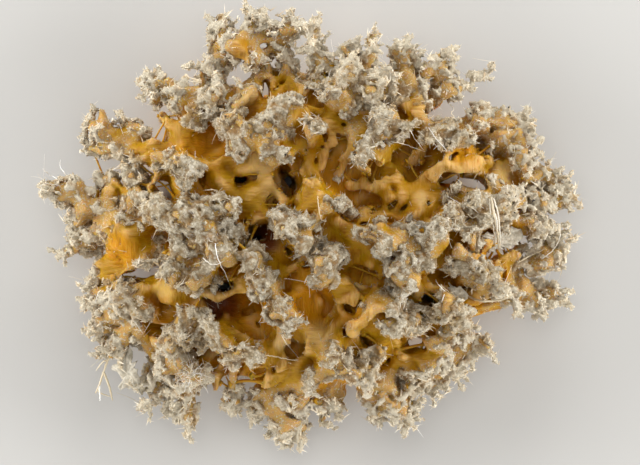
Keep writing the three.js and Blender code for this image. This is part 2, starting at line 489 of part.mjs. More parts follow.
// Merges neighbouring points, the least noticed first, until few enough triangles are left. The surface
// stays closed.
class Thinner {
  constructor({ points, faces }) {
    const used = [...new Set(faces.flat())];
    const renumbered = new Map(used.map((old, i) => [old, i]));
    this.at = used.map((old) => points.slice(3 * old, 3 * old + 3));
    this.faces = faces.map((face) => face.map((i) => renumbered.get(i)));
    this.left = faces.length;
    this.around = this.at.map(() => new Set());
    this.faces.forEach((face, f) => face.forEach((i) => this.around[i].add(f)));
    this.error = this.at.map(() => new Float64Array(10));
    this.changes = new Int32Array(this.at.length);
    for (const [a, b, c] of this.faces) this.addPlane(a, b, c);
  }

  addPlane(a, b, c) {
    const normal = cross(minus(this.at[b], this.at[a]), minus(this.at[c], this.at[a]));
    const area = Math.hypot(...normal);
    if (area < 1e-9) return;
    const [x, y, z] = normal.map((v) => v / area);
    const w = -dot([x, y, z], this.at[a]);
    const terms = [x * x, x * y, x * z, x * w, y * y, y * z, y * w, z * z, z * w, w * w];
    for (const i of [a, b, c]) terms.forEach((term, n) => (this.error[i][n] += area * term));
  }

  neighbours(i) {
    const found = new Set();
    for (const f of this.around[i]) for (const j of this.faces[f]) if (j !== i) found.add(j);
    return found;
  }

  // Where the merged point of an edge belongs, and what moving it there costs
  plan(a, b) {
    const q = this.error[a].map((v, n) => v + this.error[b][n]);
    const middle = this.at[a].map((v, i) => (v + this.at[b][i]) / 2);
    const hold = HOLD * (q[0] + q[4] + q[7]) + 1e-9;
    const rows = [[q[0] + hold, q[1], q[2]], [q[1], q[4] + hold, q[5]], [q[2], q[5], q[7] + hold]];
    const right = [hold * middle[0] - q[3], hold * middle[1] - q[6], hold * middle[2] - q[8]];
    const whole = dot(rows[0], cross(rows[1], rows[2]));
    const span = Math.hypot(...minus(this.at[a], this.at[b]));
    let place = middle;
    if (Math.abs(whole) > 1e-12) {
      const [c0, c1, c2] = [cross(rows[1], rows[2]), cross(rows[2], rows[0]), cross(rows[0], rows[1])];
      const best = [0, 1, 2].map((i) => (c0[i] * right[0] + c1[i] * right[1] + c2[i] * right[2]) / whole);
      if (Math.hypot(...minus(best, middle)) < span) place = best;
    }
    const [x, y, z] = place;
    const flatness =
      q[0] * x * x + 2 * q[1] * x * y + 2 * q[2] * x * z + 2 * q[3] * x + q[4] * y * y +
      2 * q[5] * y * z + 2 * q[6] * y + q[7] * z * z + 2 * q[8] * z + q[9];
    return { place, cost: flatness + EVENNESS * span ** 4 };
  }

  // Whether the triangles round a point keep facing out and keep some height when it moves
  keepsShape(i, other, place) {
    for (const f of this.around[i]) {
      const face = this.faces[f];
      if (face.includes(other)) continue;
      const turn = face.indexOf(i);
      const [p, q] = [this.at[face[(turn + 1) % 3]], this.at[face[(turn + 2) % 3]]];
      const before = cross(minus(p, this.at[i]), minus(q, this.at[i]));
      const after = cross(minus(p, place), minus(q, place));
      const sizes = Math.hypot(...before) * Math.hypot(...after);
      if (dot(before, after) < LEAST_TURN * sizes) return false;
      const height = heightShare(minus(p, place), minus(q, place));
      const wasHigher = height < heightShare(minus(p, this.at[i]), minus(q, this.at[i]));
      if (height < LEAST_HEIGHT && wasHigher) return false;
    }
    return true;
  }

  merge(a, b, place) {
    const shared = [...this.neighbours(a)].filter((i) => this.neighbours(b).has(i));
    if (shared.length !== 2) return false;
    if (!this.keepsShape(a, b, place) || !this.keepsShape(b, a, place)) return false;
    for (const f of [...this.around[b]]) {
      if (this.faces[f].includes(a)) {
        this.faces[f].forEach((i) => this.around[i].delete(f));
        this.left--;
      } else {
        this.faces[f] = this.faces[f].map((i) => (i === b ? a : i));
        this.around[a].add(f);
      }
    }
    this.around[b].clear();
    this.at[a] = place;
    this.error[b].forEach((v, n) => (this.error[a][n] += v));
    this.changes[a]++;
    this.changes[b]++;
    return true;
  }

  run(target) {
    const queue = new Queue();
    const enter = (a, b) => {
      const { place, cost } = this.plan(a, b);
      queue.push({ cost, a, b, place, stamp: this.changes[a] + this.changes[b] });
    };
    for (let pass = 0; pass < PASSES && this.left > target; pass++) {
      this.at.forEach((_, a) => this.neighbours(a).forEach((b) => a < b && enter(a, b)));
      while (this.left > target && queue.items.length) {
        const { a, b, place, stamp } = queue.pop();
        const gone = !this.around[a].size || !this.around[b].size;
        const stale = gone || stamp !== this.changes[a] + this.changes[b];
        if (!stale && this.merge(a, b, place)) this.neighbours(a).forEach((n) => enter(a, n));
      }
    }
    const kept = [...new Set([...this.around.keys()].filter((i) => this.around[i].size))];
    const renumbered = new Map(kept.map((old, i) => [old, i]));
    const live = this.faces.filter((face, f) => this.around[face[0]].has(f));
    const faces = live.map((face) => face.map((i) => renumbered.get(i)));
    return { points: kept.flatMap((i) => this.at[i]), faces };
  }
}

// No point is left so close to the cut that it would make a sliver there
const CUT_CLEAR = 0.12;

const wasm = await Module();
wasm.setup();

function solidOf(geometry) {
  const bare = geometry.clone();
  bare.deleteAttribute("normal");
  bare.deleteAttribute("uv");
  const merged = mergeVertices(bare, 1e-4);
  const vertProperties = new Float32Array(merged.getAttribute("position").array);
  const triVerts = new Uint32Array(merged.index.array);
  return new wasm.Manifold(new wasm.Mesh({ numProp: 3, vertProperties, triVerts }));
}

function geometryOf(solid) {
  const { vertProperties, triVerts } = solid.getMesh();
  const geometry = new THREE.BufferGeometry();
  geometry.setAttribute("position", new THREE.BufferAttribute(new Float32Array(vertProperties), 3));
  geometry.setIndex(new THREE.BufferAttribute(new Uint32Array(triVerts), 1));
  geometry.computeVertexNormals();
  return geometry;
}

function spongeGeometry() {
  const { points, faces } = new Thinner(largestPiece(trace(grow()))).run(TRIANGLES);
  for (let i = 2; i < points.length; i += 3) if (Math.abs(points[i]) < CUT_CLEAR) points[i] = -CUT_CLEAR;
  const clump = new THREE.BufferGeometry();
  clump.setAttribute("position", new THREE.Float32BufferAttribute(points, 3));
  clump.setIndex(faces.flat());
  const rock = new THREE.BoxGeometry(HIGH[0] - LOW[0], HIGH[1] - LOW[1], -2 * LOW[2]);
  rock.translate(0, 0, LOW[2]);
  const pieces = solidOf(clump).subtract(solidOf(rock)).decompose();
  return geometryOf(pieces.reduce((best, piece) => (piece.volume() > best.volume() ? piece : best)));
}

const flesh = new THREE.MeshStandardMaterial({ color: 0xb9853f, roughness: 0.55, metalness: 0 });
const sponge = new THREE.Mesh(spongeGeometry(), flesh);
sponge.name = "sponge";

const clump = new THREE.Group();
clump.add(sponge);

export default clump;
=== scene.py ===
"""A sea sponge: amber flesh full of caves, a gritty crust of sand on its knobs and lobes, and the grains,
points, fibres and films on it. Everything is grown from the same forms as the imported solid. The lists are
in millimetres, +Z up from the flat face that the clump rests on. A mesh is scaled to metres when made."""

import bpy
import numpy as np
import openvdb
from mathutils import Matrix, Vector


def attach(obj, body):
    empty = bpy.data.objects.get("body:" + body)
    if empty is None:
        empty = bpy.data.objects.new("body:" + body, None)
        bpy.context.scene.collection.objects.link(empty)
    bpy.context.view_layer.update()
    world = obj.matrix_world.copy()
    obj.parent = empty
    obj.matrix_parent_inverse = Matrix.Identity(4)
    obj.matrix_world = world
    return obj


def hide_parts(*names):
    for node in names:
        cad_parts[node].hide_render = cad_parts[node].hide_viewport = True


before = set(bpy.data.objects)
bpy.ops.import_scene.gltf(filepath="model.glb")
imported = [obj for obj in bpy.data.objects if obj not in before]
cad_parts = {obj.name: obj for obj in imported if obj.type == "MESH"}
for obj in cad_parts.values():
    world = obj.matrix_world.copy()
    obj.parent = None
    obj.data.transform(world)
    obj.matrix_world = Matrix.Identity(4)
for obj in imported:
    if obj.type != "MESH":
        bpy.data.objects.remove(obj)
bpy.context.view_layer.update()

MM = 0.001

# The mound that everything grows from: the upper half of one ellipsoid on the lower half of a deeper one
MOUND_X = 1.6
MOUND_HALF_WIDTH = 45
MOUND_HALF_DEPTH = 34
RIM_Z = 14
CROWN_Z = 31
ROOT_DEPTH = 18

# How softly one form runs into the next, and how much of a thin form's girth that soft joint adds
BODY_BLEND = 1.8
WELL_BLEND = 1.8
BAR_BLEND = 1.4
HOLE_BLEND = 1
JOINT_SWELL = 0.5
THINNEST = 0.45

# Knobs stand this far above the mound, and taper down to a foot that leans in towards the middle
KNOB_STAND = 3.6
KNOB_SUNK = 0.55
HEAD_DROP = 0.1
FOOT_LEAN = 0.82
FOOT_HEIGHT = 0.4
FOOT_LOWEST = 2
FOOT_GIRTH = 0.5

# Slow waves that keep the clump from looking turned: [size, waves per mm along x and y, start]
WAVES_X = [[0.6, 0, 0.52, 1], [0.35, 0.5, 1.1, 0]]
WAVES_Y = [[0.6, 0.47, 0, 2], [0.35, 1.05, -0.4, 0]]
WAVES_Z = [[1.2, 0.37, 0.41, 0], [0.5, 0.8, -0.9, 0]]

# Crusty knobs: [x, y, radius, lift]
KNOBS = [
    # top, left of the middle
    [-2, 25, 4.5, 0], [-4, 21, 3.5, 0.5], [3, 20, 2.5, 1], [-11, 28, 3.2, 0.5], [-14, 22, 3, 0],
    [-12, 18, 3.8, 1], [-8, 19, 3, 0.5], [-5, 15, 3.5, 1], [-23, 26, 4, 0], [-18, 27, 4, 0],
    [-21, 22, 2.6, 0],
    # top right
    [10, 31, 5, 0], [8, 26, 3.5, 0], [16, 29, 4.5, 0.5], [21, 30, 4, 0], [22, 35, 3.6, -1],
    [26, 26, 3.5, 0], [30, 29, 3.5, 0], [17, 20.5, 3.4, 1.5], [14, 17, 2.5, 1], [20, 21, 2.8, 1],
    [28, 20, 3.2, 0], [32, 18.5, 3, 0],
    # right upper lobe
    [37.5, 23, 3.2, 0], [42, 21, 3.5, 0], [41, 17.6, 2.6, 0.5], [46, 16.5, 3.4, 0], [47, 12.5, 2.8, 0],
    [50, 7, 2.6, 0], [33, 1, 3.2, 0.5], [37, 3, 4, 0.5], [42, 3.5, 3.8, 0.5], [45, 6, 3, 0],
    [36, -1.5, 2.5, 0], [50, 1, 2.6, 0],
    # left
    [-25, 13.5, 2.8, 0.5], [-28, 15, 2.5, 0], [-23.5, 11, 3, 0.5], [-29, 4, 3.5, 0], [-25, 3, 4, 0.5],
    [-19, 2.5, 4, 1], [-15, 4, 3, 0.5], [-24, -3, 4, 0.5], [-17, -4, 4.2, 1], [-20, -9, 4.2, 0.5],
    [-25, -8, 4, 0], [-13, 0, 2.5, 0],
    # middle
    [-9.5, -7, 3.6, 1], [-6.5, -11.5, 4, 1], [-3.5, -16, 3.6, 1], [-1.6, -19.5, 2.6, 0.5],
    [-2.5, 1.5, 3, 1], [0.5, -2, 3, 0.5], [6, 4, 2.5, 1], [9, 6.5, 2.2, 1], [3.5, 1.5, 2.4, 1],
    [6, -7, 3.8, 1], [5, -11, 3, 0.5], [17, -2.5, 3.5, 1], [21, -3, 4, 1.2], [25, -4, 4, 1],
    [22, -8.5, 4, 1], [28, -2, 3, 0.5], [14.5, -1.5, 2.4, 0.5],
    # right lower ridges
    [12, -19, 2.4, 0.5], [15, -17, 2.8, 0.5], [18, -15.5, 2.8, 0.5], [20, -20, 2.4, 0.5],
    [24, -19, 2.8, 0.5], [28, -17.5, 2.8, 0.5], [30.5, -15.6, 2.4, 0.5], [33, -7, 3, 0.5],
    [37, -9.5, 3.3, 0.8], [41, -12, 3.3, 0.5], [44, -13.5, 3, 0], [33, -20, 3.4, 0.5], [35, -22.5, 3, 0],
    [30, -24, 3.2, 0],
    # bottom
    [8, -27.5, 4, 0.5], [12, -29.5, 3.5, 0.5], [4, -31, 4, 0], [1, -34, 4, 0], [15, -27.5, 2.8, 0],
    [18, -33, 3.4, 0], [24, -31, 3.4, 0], [27, -28, 3.2, 0], [-14.5, -23, 2.6, 0.5], [-12, -26, 3, 0.5],
    [-9, -28, 2.7, 0.3], [-22, -31, 3, 0.3],
    # bottom left
    [-24, -19.5, 4, 0.5], [-21, -23, 3.5, 0.3], [-27, -23, 3, 0], [-26, -28, 4, 0], [-18, -20, 2.7, 0.5],
    [-36, -14, 3.2, 0.5], [-33, -17, 2.6, 0.3], [-39.5, -18, 4, 0], [-36, -22, 4, 0],
]

# Lobes and fingers of the rim: [x, y, z, radius] at the root, then at the tip
LIMBS = [
    # left lower arm, with its two ends and three fingers
    [-33, 1, 12, 4.6, -44, 2.4, 14, 3.8], [-43, 3, 14, 3.8, -50, 8, 15, 2.6],
    [-50, 8, 15, 2.2, -53.6, 10.6, 15.5, 1], [-43, -0.6, 13, 3.6, -47.5, -4.8, 12.5, 2.5],
    [-44, 4, 15, 1.8, -46, 8.4, 16, 1.2], [-37, 4.4, 14, 2, -41, 11.4, 15.4, 1.5],
    [-33, 5, 15, 2.6, -34.6, 12, 16.5, 1.1],
    # left upper arm, with its tips
    [-28, 17, 14, 4, -37, 18.4, 14, 3.6], [-36, 18, 14, 3.8, -41, 20.5, 14, 3.4],
    [-41, 21, 14, 2.8, -45, 22, 14.5, 1.3], [-40, 18.4, 13, 2.6, -44.4, 15.8, 13, 1.2],
    [-37, 20.4, 14, 3, -35.2, 27.6, 15, 1.3], [-39.4, 21, 14, 2.4, -38.4, 25, 15, 1.2],
    [-41.4, 22, 14, 2, -41, 25, 14.6, 1.1], [-34, 15.4, 13, 2.6, -38, 13.8, 13, 1.6],
    # post with a head beside the bay
    [-28.2, 16, 14, 2.4, -28.4, 23, 15, 1.8], [-28.4, 23, 15, 1.9, -30.8, 28.2, 16, 2.8],
    [-30.8, 28.2, 16, 2.8, -30.6, 31.4, 16.5, 2.1],
    # upper left spikes and the tall finger
    [-26, 27, 17, 2.7, -27.4, 31.6, 18, 1.7], [-22, 28, 18, 2.6, -20.6, 33.4, 18, 1.2],
    [-17.4, 27, 18, 2.3, -17, 35.6, 19, 1.9],
    # pouch at the top, with its knob, spikes and the web beside it
    [-8, 29, 17, 3.2, -8.6, 34.5, 18, 2.5], [-8.6, 34, 18, 2.8, -12, 37, 19, 4.2],
    [-12, 37, 19, 4, -15.5, 40, 19, 2.8], [-10, 37, 19, 3.8, -9.6, 43, 19.5, 2.5],
    [-15.5, 38.5, 19, 2.2, -18.2, 38.6, 19, 1.3], [-8, 39, 19, 2.6, -5.8, 43.8, 20, 1.2],
    [-6, 40, 19, 2.4, -2.6, 41.5, 19, 2], [-2.6, 41.5, 19, 2, 0.4, 43, 20, 1.6],
    [-3, 41, 19, 2, -3, 32, 19, 2.5],
    # fingers at the top
    [3.6, 33, 19, 2.5, 2.6, 42, 21, 1.6], [11.6, 34.4, 19, 2.4, 10.6, 41.8, 21, 1.6],
    [12, 36.4, 19.5, 1.5, 14, 38, 20, 1.1], [13.4, 34, 20, 1.9, 16.6, 39.8, 22, 1.6],
    [25.6, 33.6, 18, 2, 30, 37, 19, 1.2], [29, 32, 17, 2.2, 32, 35.8, 18, 1.1],
    [30, 31, 17, 2.6, 35.4, 33, 17.5, 1.1], [31, 28.5, 16, 3.2, 33, 27.5, 16, 2],
    # right upper lobe
    [30, 16, 14, 3.5, 38, 22.5, 15, 3.2], [38, 22.5, 15, 3.2, 44, 20, 14, 3.4],
    [44, 19.5, 14, 3.4, 47.5, 13, 13, 3], [38, 8, 12, 3, 47, 11, 13, 3.2],
    [47, 9.6, 12, 3, 54, 12.2, 13, 1.8], [46, 7, 12, 3.6, 53.6, 6, 12, 2.6],
    [42, 2, 11, 3.6, 52.4, -0.4, 11, 3], [50, 4, 12, 2, 52.6, 9, 12, 2],
    [46.8, 3, 12, 1.9, 46.8, -4.5, 12, 1.6], [46.8, -4.5, 12, 1.7, 40, -7.6, 13, 2],
    # right lower lobe
    [38, -11, 13, 2.4, 48, -7.8, 13, 2.2], [48, -7.8, 13, 2.2, 53.6, -4.8, 13, 2.3],
    [42, -12, 12, 3.4, 50, -12.6, 12, 3], [50, -12.6, 12, 2.6, 54.6, -12.8, 12, 1.4],
    [40, -14, 11, 3, 49, -15.4, 11, 2.4],
    # lower right lobe
    [30, -13, 13, 2.6, 31, -21, 12, 3.6], [31, -21.5, 12, 4.4, 34, -24, 12, 3.6],
    [34, -23.5, 12, 3.2, 39, -23.2, 12, 1.7], [26, -26, 12, 4, 31, -28, 12, 2.8],
    [20, -29, 12, 4, 27.4, -31.6, 12, 3.4],
    # bottom lobes
    [16, -31, 13, 4, 20, -36.5, 12, 4], [20, -36, 12, 3.8, 24.4, -36.5, 12, 2.4],
    [17, -37, 12, 3, 15, -40.2, 12, 1.4], [6, -32, 13, 4, 7, -36, 13, 2.6],
    [5, -36, 12, 2.2, 5, -41.4, 12, 1.2], [-3, -32, 13, 5, -3.5, -40, 12, 4],
    [-2, -40, 12, 3, -0.4, -43, 12, 2.2], [-5, -37, 12, 3, -9, -37.5, 12, 2.4],
    [-8, -35, 12, 2.6, -13, -35.2, 12, 2], [-20, -28, 13, 3, -22.4, -36, 12, 2.2],
    [-22.4, -36, 12, 2.2, -22.6, -39.2, 12, 2], [-22, -38.4, 12, 1.6, -20.4, -40.2, 12, 1.1],
    [-27, -28, 12, 2.8, -29, -35.2, 11, 1.4], [-30, -27, 12, 2.6, -32, -33.6, 11, 1.3],
    [-24, -30, 12, 2.2, -25.6, -33.6, 12, 1.4],
    # left bottom lobe
    [-36, -17, 13, 4, -41, -16, 13, 2.8], [-41, -16, 13, 2.6, -44, -16.4, 13, 1.3],
    [-37, -20, 12, 4, -41, -21.6, 12, 2.5], [-38, -14, 13, 2.8, -42, -12.6, 13, 1.8],
    [-34, -22, 12, 3.6, -38.6, -24.6, 11.5, 2],
    # left plate, which leans down to the left, and the crumbs at its end
    [-36.6, -8.6, 14, 2.4, -29.6, -1.6, 18, 4], [-33, -4.6, 15, 3, -39.6, -5, 14, 2.2],
    [-36, -7, 14, 2.8, -41, -8.6, 14, 2.2], [-38, -9, 14, 2, -40.6, -11.2, 13, 1.4],
]

# Folds and struts of flesh inside: [x, y, depth under the mound, radius] at one end, then at the other
BARS = [
    # tongue and cup, upper left of the middle
    [-16, 9.4, 2, 2.8, -9.6, 6.4, 2, 2.8], [-9.6, 6.4, 2, 2.8, -6.6, 1.6, 3, 2.2],
    [-13, 13.4, 1.4, 2.2, -8, 12.8, 1, 2.4], [-8, 12.8, 1, 2.2, -3.6, 13.4, 1.5, 1.6],
    [-6.4, 9, 1.5, 1.6, -3.8, 6.4, 1, 1.6],
    # bright wall below the middle
    [1, -12, 1.5, 3.2, 3, -20.5, 3, 3.4],
    # smooth bars over the right hole
    [28, 11.4, -2, 1.7, 36, 14.4, -3.5, 1.9], [36, 14.4, -3.5, 1.9, 44, 13.6, -2.5, 1.6],
    [30, 11.8, 2, 1.5, 37, 12.8, 0, 1.6], [37, 12.8, 0, 1.6, 43, 10, 0, 2.2],
    # long bars of the lower left
    [9, -17, -0.5, 1.4, 6.4, -26, -0.5, 1.6], [-34, -13, -0.5, 1.8, -26, -13.2, -0.5, 1.7],
    [-27, -13.4, -0.5, 1.5, -20, -13.2, -1, 1.4], [-20, -13.2, -1, 1.4, -13, -11.8, -1, 1.4],
    [-7, -27, 0.5, 1, 2, -27.6, 0, 1], [-3.5, -18, -0.5, 1, -3.6, -27, 0, 1],
    # folds of the two basins, upper right of the middle
    [7, 22, 0, 1.4, 5, 12.4, 3, 1.2], [11, 20, 0, 1.3, 9.4, 11, 4, 1.1], [3, 18, 1, 1.2, 1.6, 10.4, 3, 1.2],
    [15.6, 13, 1.5, 1.2, 18, 2, 4, 1.2], [20, 13, 2, 1.2, 21.4, 2, 4, 1.2],
    [26, 12, 1.5, 1.3, 24, 1, 2, 1.3], [12, 9, 3, 1.3, 24, 10, 3.5, 1.2],
    # drapes at the bottom
    [16, -22, 0, 2.2, 20, -31, -0.5, 2.6], [19, -21, 0, 1.6, 24, -29, 0, 1.8],
    [-10.4, -27, 0, 1.2, -9.4, -35, -0.5, 1.3], [-7, -26, 0, 1.1, -5.6, -36, -1, 1.2],
    [-13.4, -27, 0, 1.2, -13, -34, -0.5, 1.2], [-17, -24, 0, 1.2, -17.4, -32, -0.5, 1.2],
]

# Round mouths: [x, y, depth under the mound, ring radius, wire radius]
MOUTHS = [
    [25.4, 6.4, 3, 2.4, 1],
    [13.6, -10.4, 0, 4.3, 1.3],
]

# Caves open to the top: [x, y] of one end of the slot, [x, y] of the other, radius, depth under the mound
CAVES = [
    [-20.5, 17, -17, 15, 3.2, 5], [-20, 20, -18, 18, 2, 4], [-13, 37.5, -10, 35.5, 2.4, 0],
    [6, 19, 8, 12, 4.6, 9], [2, 14, 11, 13, 3.2, 8], [13, 7, 23, 6, 5.2, 9], [18, 10, 26, 9, 3.8, 8],
    [23, 17, 27, 14, 3, 7], [19, 24.6, 25, 24, 1.9, 5], [3.6, 27.5, 6, 27, 2, 5],
    [-2.4, 33, -2, 29, 1.5, 4], [-15, 8, -6, 6, 4.8, 9], [-7, 10.6, -3, 10, 2.6, 9],
    [-9, -1.4, -4, -3.4, 3, 9], [-15, -8.5, -13.6, -6.4, 2.4, 6], [-16, -15, -12, -17, 4, 11],
    [0, -12, 4, -21, 4.4, 6], [11, -17, 10, -22, 3, 12], [13.6, -10.4, 13.8, -10.4, 3.5, 7],
    [-33, -17, -28, -18, 3.2, 9], [-9, -22, -1, -23, 3, 8], [-20, -27, -15, -29, 3.2, 8],
    [-12, -31, -6, -32, 2.8, 5], [6, -34, 12, -33, 2, 6], [16, -25, 21, -28, 3.2, 6],
    [23, -25, 27, -24, 2.8, 9], [30, 12.4, 43, 15.4, 1.6, 5], [28, -11, 35, -12.5, 2.1, 8],
    [37, -3, 44, -1.4, 2.6, 8], [18, -12.6, 22, -13, 1.7, 5], [-33, -5.4, -28, -1, 2.4, 4],
]

# Caves that open in the flank, under the rim: [x, y, z] outside, [x, y, z] at the inner end, radius
FLANK_CAVES = [
    [-34, -20, 6, -18, -11, 8, 3.2], [-42, 3, 6, -25, 1, 8, 3], [-30, 24, 6, -18, 13, 9, 3.3],
    [-6, 36, 7, -4, 20, 9, 3.2], [16, 34, 6, 11, 20, 9, 3.1], [34, 24, 6, 21, 13, 9, 3.3],
    [46, 4, 5, 29, 2, 8, 3], [40, -16, 6, 25, -9, 9, 3.1], [22, -33, 6, 14, -18, 9, 3.2],
    [3, -37, 6, 3, -22, 9, 3], [-16, -34, 6, -10, -21, 9, 3.1],
]

# Holes from top to bottom: [x, y] of one end of the slot, [x, y] of the other, radius
HOLES = [
    [-31.6, 24.2, -31, 21.6, 2.6], [-26.2, 27.4, -25, 24, 1.1], [-13.6, 33.2, -9.8, 32.8, 1.8],
    [-6.8, 38.2, -5.4, 38.4, 0.7], [0.8, 40.6, 1, 37.4, 1.3], [-0.2, 34.4, 1, 34.4, 0.8],
    [-8.6, 29.4, -7.2, 26.4, 0.7], [-29.4, 9.2, -28.4, 8, 1.7], [-2.8, 11.4, -2.8, 10, 1.2],
    [-12.8, 10.6, -11.4, 10.2, 0.7], [29.6, 9.4, 31, 9, 1.4], [34.6, 10, 37, 9.4, 1.5],
    [31, 9.8, 35, 10.2, 0.9], [-10.6, -2.6, -8.2, -2, 1.1], [-36, -11.6, -33, -10, 1],
    [-33, -9.8, -29, -7.6, 2.2], [-18, -12.2, -14, -10.8, 0.6], [39.6, -5.4, 44.6, -4, 0.9],
    [26, -13.4, 27.6, -15, 1.3], [35, -12.2, 36.2, -12.4, 0.8], [14.2, -24, 14.2, -25.4, 1.1],
    [24.6, -25, 25.8, -24.4, 1.5], [-14.6, -37.4, -13.8, -37.8, 0.7], [-3.4, -35.6, -3.2, -37, 0.7],
]

# Bays cut into the outline, written as the holes are
BAYS = [
    [-52, 14, -40, 13.8, 1.8], [-40, 13.6, -31, 11.8, 1.4], [-52, -9.6, -41, -8, 0.8],
    [-46, -6.6, -41.4, -2.4, 1.4], [-31.6, 24.2, -33, 33, 1.6], [38, 28, 29.4, 23.8, 2],
    [47, -22, 37.5, -18, 2.2], [-19, -44, -18, -36.6, 2.6], [-36.4, -28, -34.6, -26, 1.2],
    [58, -8.6, 51.6, -9.2, 0.9], [58, 3, 51.6, 2.6, 0.7], [12, -46, 11, -39, 2.4], [34, 40, 27, 40, 2],
]
# Small gaps between fingers, written as the holes are
NOTCHES = [
    [-38.2, 12.6, -37.2, 9.4, 1.3], [-33, 10.6, -32.4, 7.6, 1], [-44.6, 0.2, -43.4, 1.6, 0.7],
    [-39.6, 24.6, -39.2, 23.4, 0.8], [-36.8, 26, -37, 23.6, 0.9], [6.4, 40.5, 6.8, 36.8, 1.9],
    [19.6, 39, 18.8, 36, 1], [-13.6, 31.8, -14.4, 36, 1], [-5.4, 43.4, -6, 41, 0.7],
    [0, 44, -0.6, 42.8, 0.5], [32.4, 30.6, 34, 31, 0.7], [46.4, 8.6, 50, 8.8, 0.7],
    [-30.6, -32, -30.4, -29.6, 0.8], [-27.2, -34, -27, -31, 0.8], [-1.6, -38.6, 1, -40, 0.8],
    [-11, -37, -10.8, -35, 0.7],
]

MOUTH_SIDES = 10
NO_FLOOR = -100
REACH = 4

# The grids that the surfaces are taken from, in millimetres
LOW = np.array([-58.0, -48.0, -3.0])
HIGH = np.array([60.0, 50.0, 42.0])
COARSE_CELL = 0.9
FLESH_CELL = 0.67
CRUST_CELL = 0.39
BAND = 3
FAR_OFF = 9

# Small random bends that make every form a little crooked
CROOK = 0.55
CROOK_SIZE = 3.6

# Creases that part the forms into lobes, mostly on the rim. A thin core of every finger is left whole.
CREASE_SIZE = 3.4
CREASE_WIDE = 0.5
CREASE_DEEP = 0.5
CREASE_RIM = 1.2
CREASE_RIM_FROM = 0.72
CREASE_RIM_TO = 0.98
CREASE_SEED = 43
CORE = 0.62
CORE_BLEND = 0.6

# Thin curved sheets of flesh that cross the caves: their size, half thickness, how far they stay below the
# mound, and where they end
SHEET_SIZE = 5.2
SHEET_HALF = 0.5
SHEET_BELOW = 2.2
SHEET_LOWEST = 2.5
SHEET_RIM = 0.94
SHEET_BLEND = 1.0
SHEET_SEED = 11
LEAST_SLOPE = 0.08

# The caves' sagging floors lie about this far below the mound, and roll by this much
CAVE_FLOOR = 9.0
CAVE_FLOOR_ROLL = 1.6
CAVE_FLOOR_SIZE = 5.0
CAVE_FLOOR_RIM = 0.82
CAVE_FLOOR_BLEND = 2.5
CAVE_FLOOR_SEED = 12

# Upright wrinkles all over: [size, seed, height] of the ridges, then of the finer waves
RIDGES = [2.8, 41, 0.5]
RIPPLES = [1.4, 42, 0.2]
RIDGE_MIDDLE = 0.6
UPRIGHT = (1, 1, 2.5)

SPARE = 8  # lattice points past the grid's far side


# Forms, as distances

def smooth_min(a, b, blend):
    h = np.clip(0.5 + 0.5 * (b - a) / blend, 0, 1)
    return b + (a - b) * h - blend * h * (1 - h)


def smooth_max(a, b, blend):
    return -smooth_min(-a, -b, blend)


def smooth_step(value, low, high):
    t = np.clip((value - low) / (high - low), 0, 1)
    return t * t * (3 - 2 * t)


def rim_share(x, y):
    """How far out a place lies: 0 in the middle of the mound, 1 on its rim."""
    return np.hypot((x - MOUND_X) / MOUND_HALF_WIDTH, y / MOUND_HALF_DEPTH)


def mound_top(x, y):
    reach = ((x - MOUND_X) / MOUND_HALF_WIDTH) ** 2 + (y / MOUND_HALF_DEPTH) ** 2
    return RIM_Z + (CROWN_Z - RIM_Z) * np.sqrt(np.maximum(0, 1 - reach))


def wave(terms, x, y):
    return sum(size * np.sin(along_x * x + along_y * y + start) for size, along_x, along_y, start in terms)


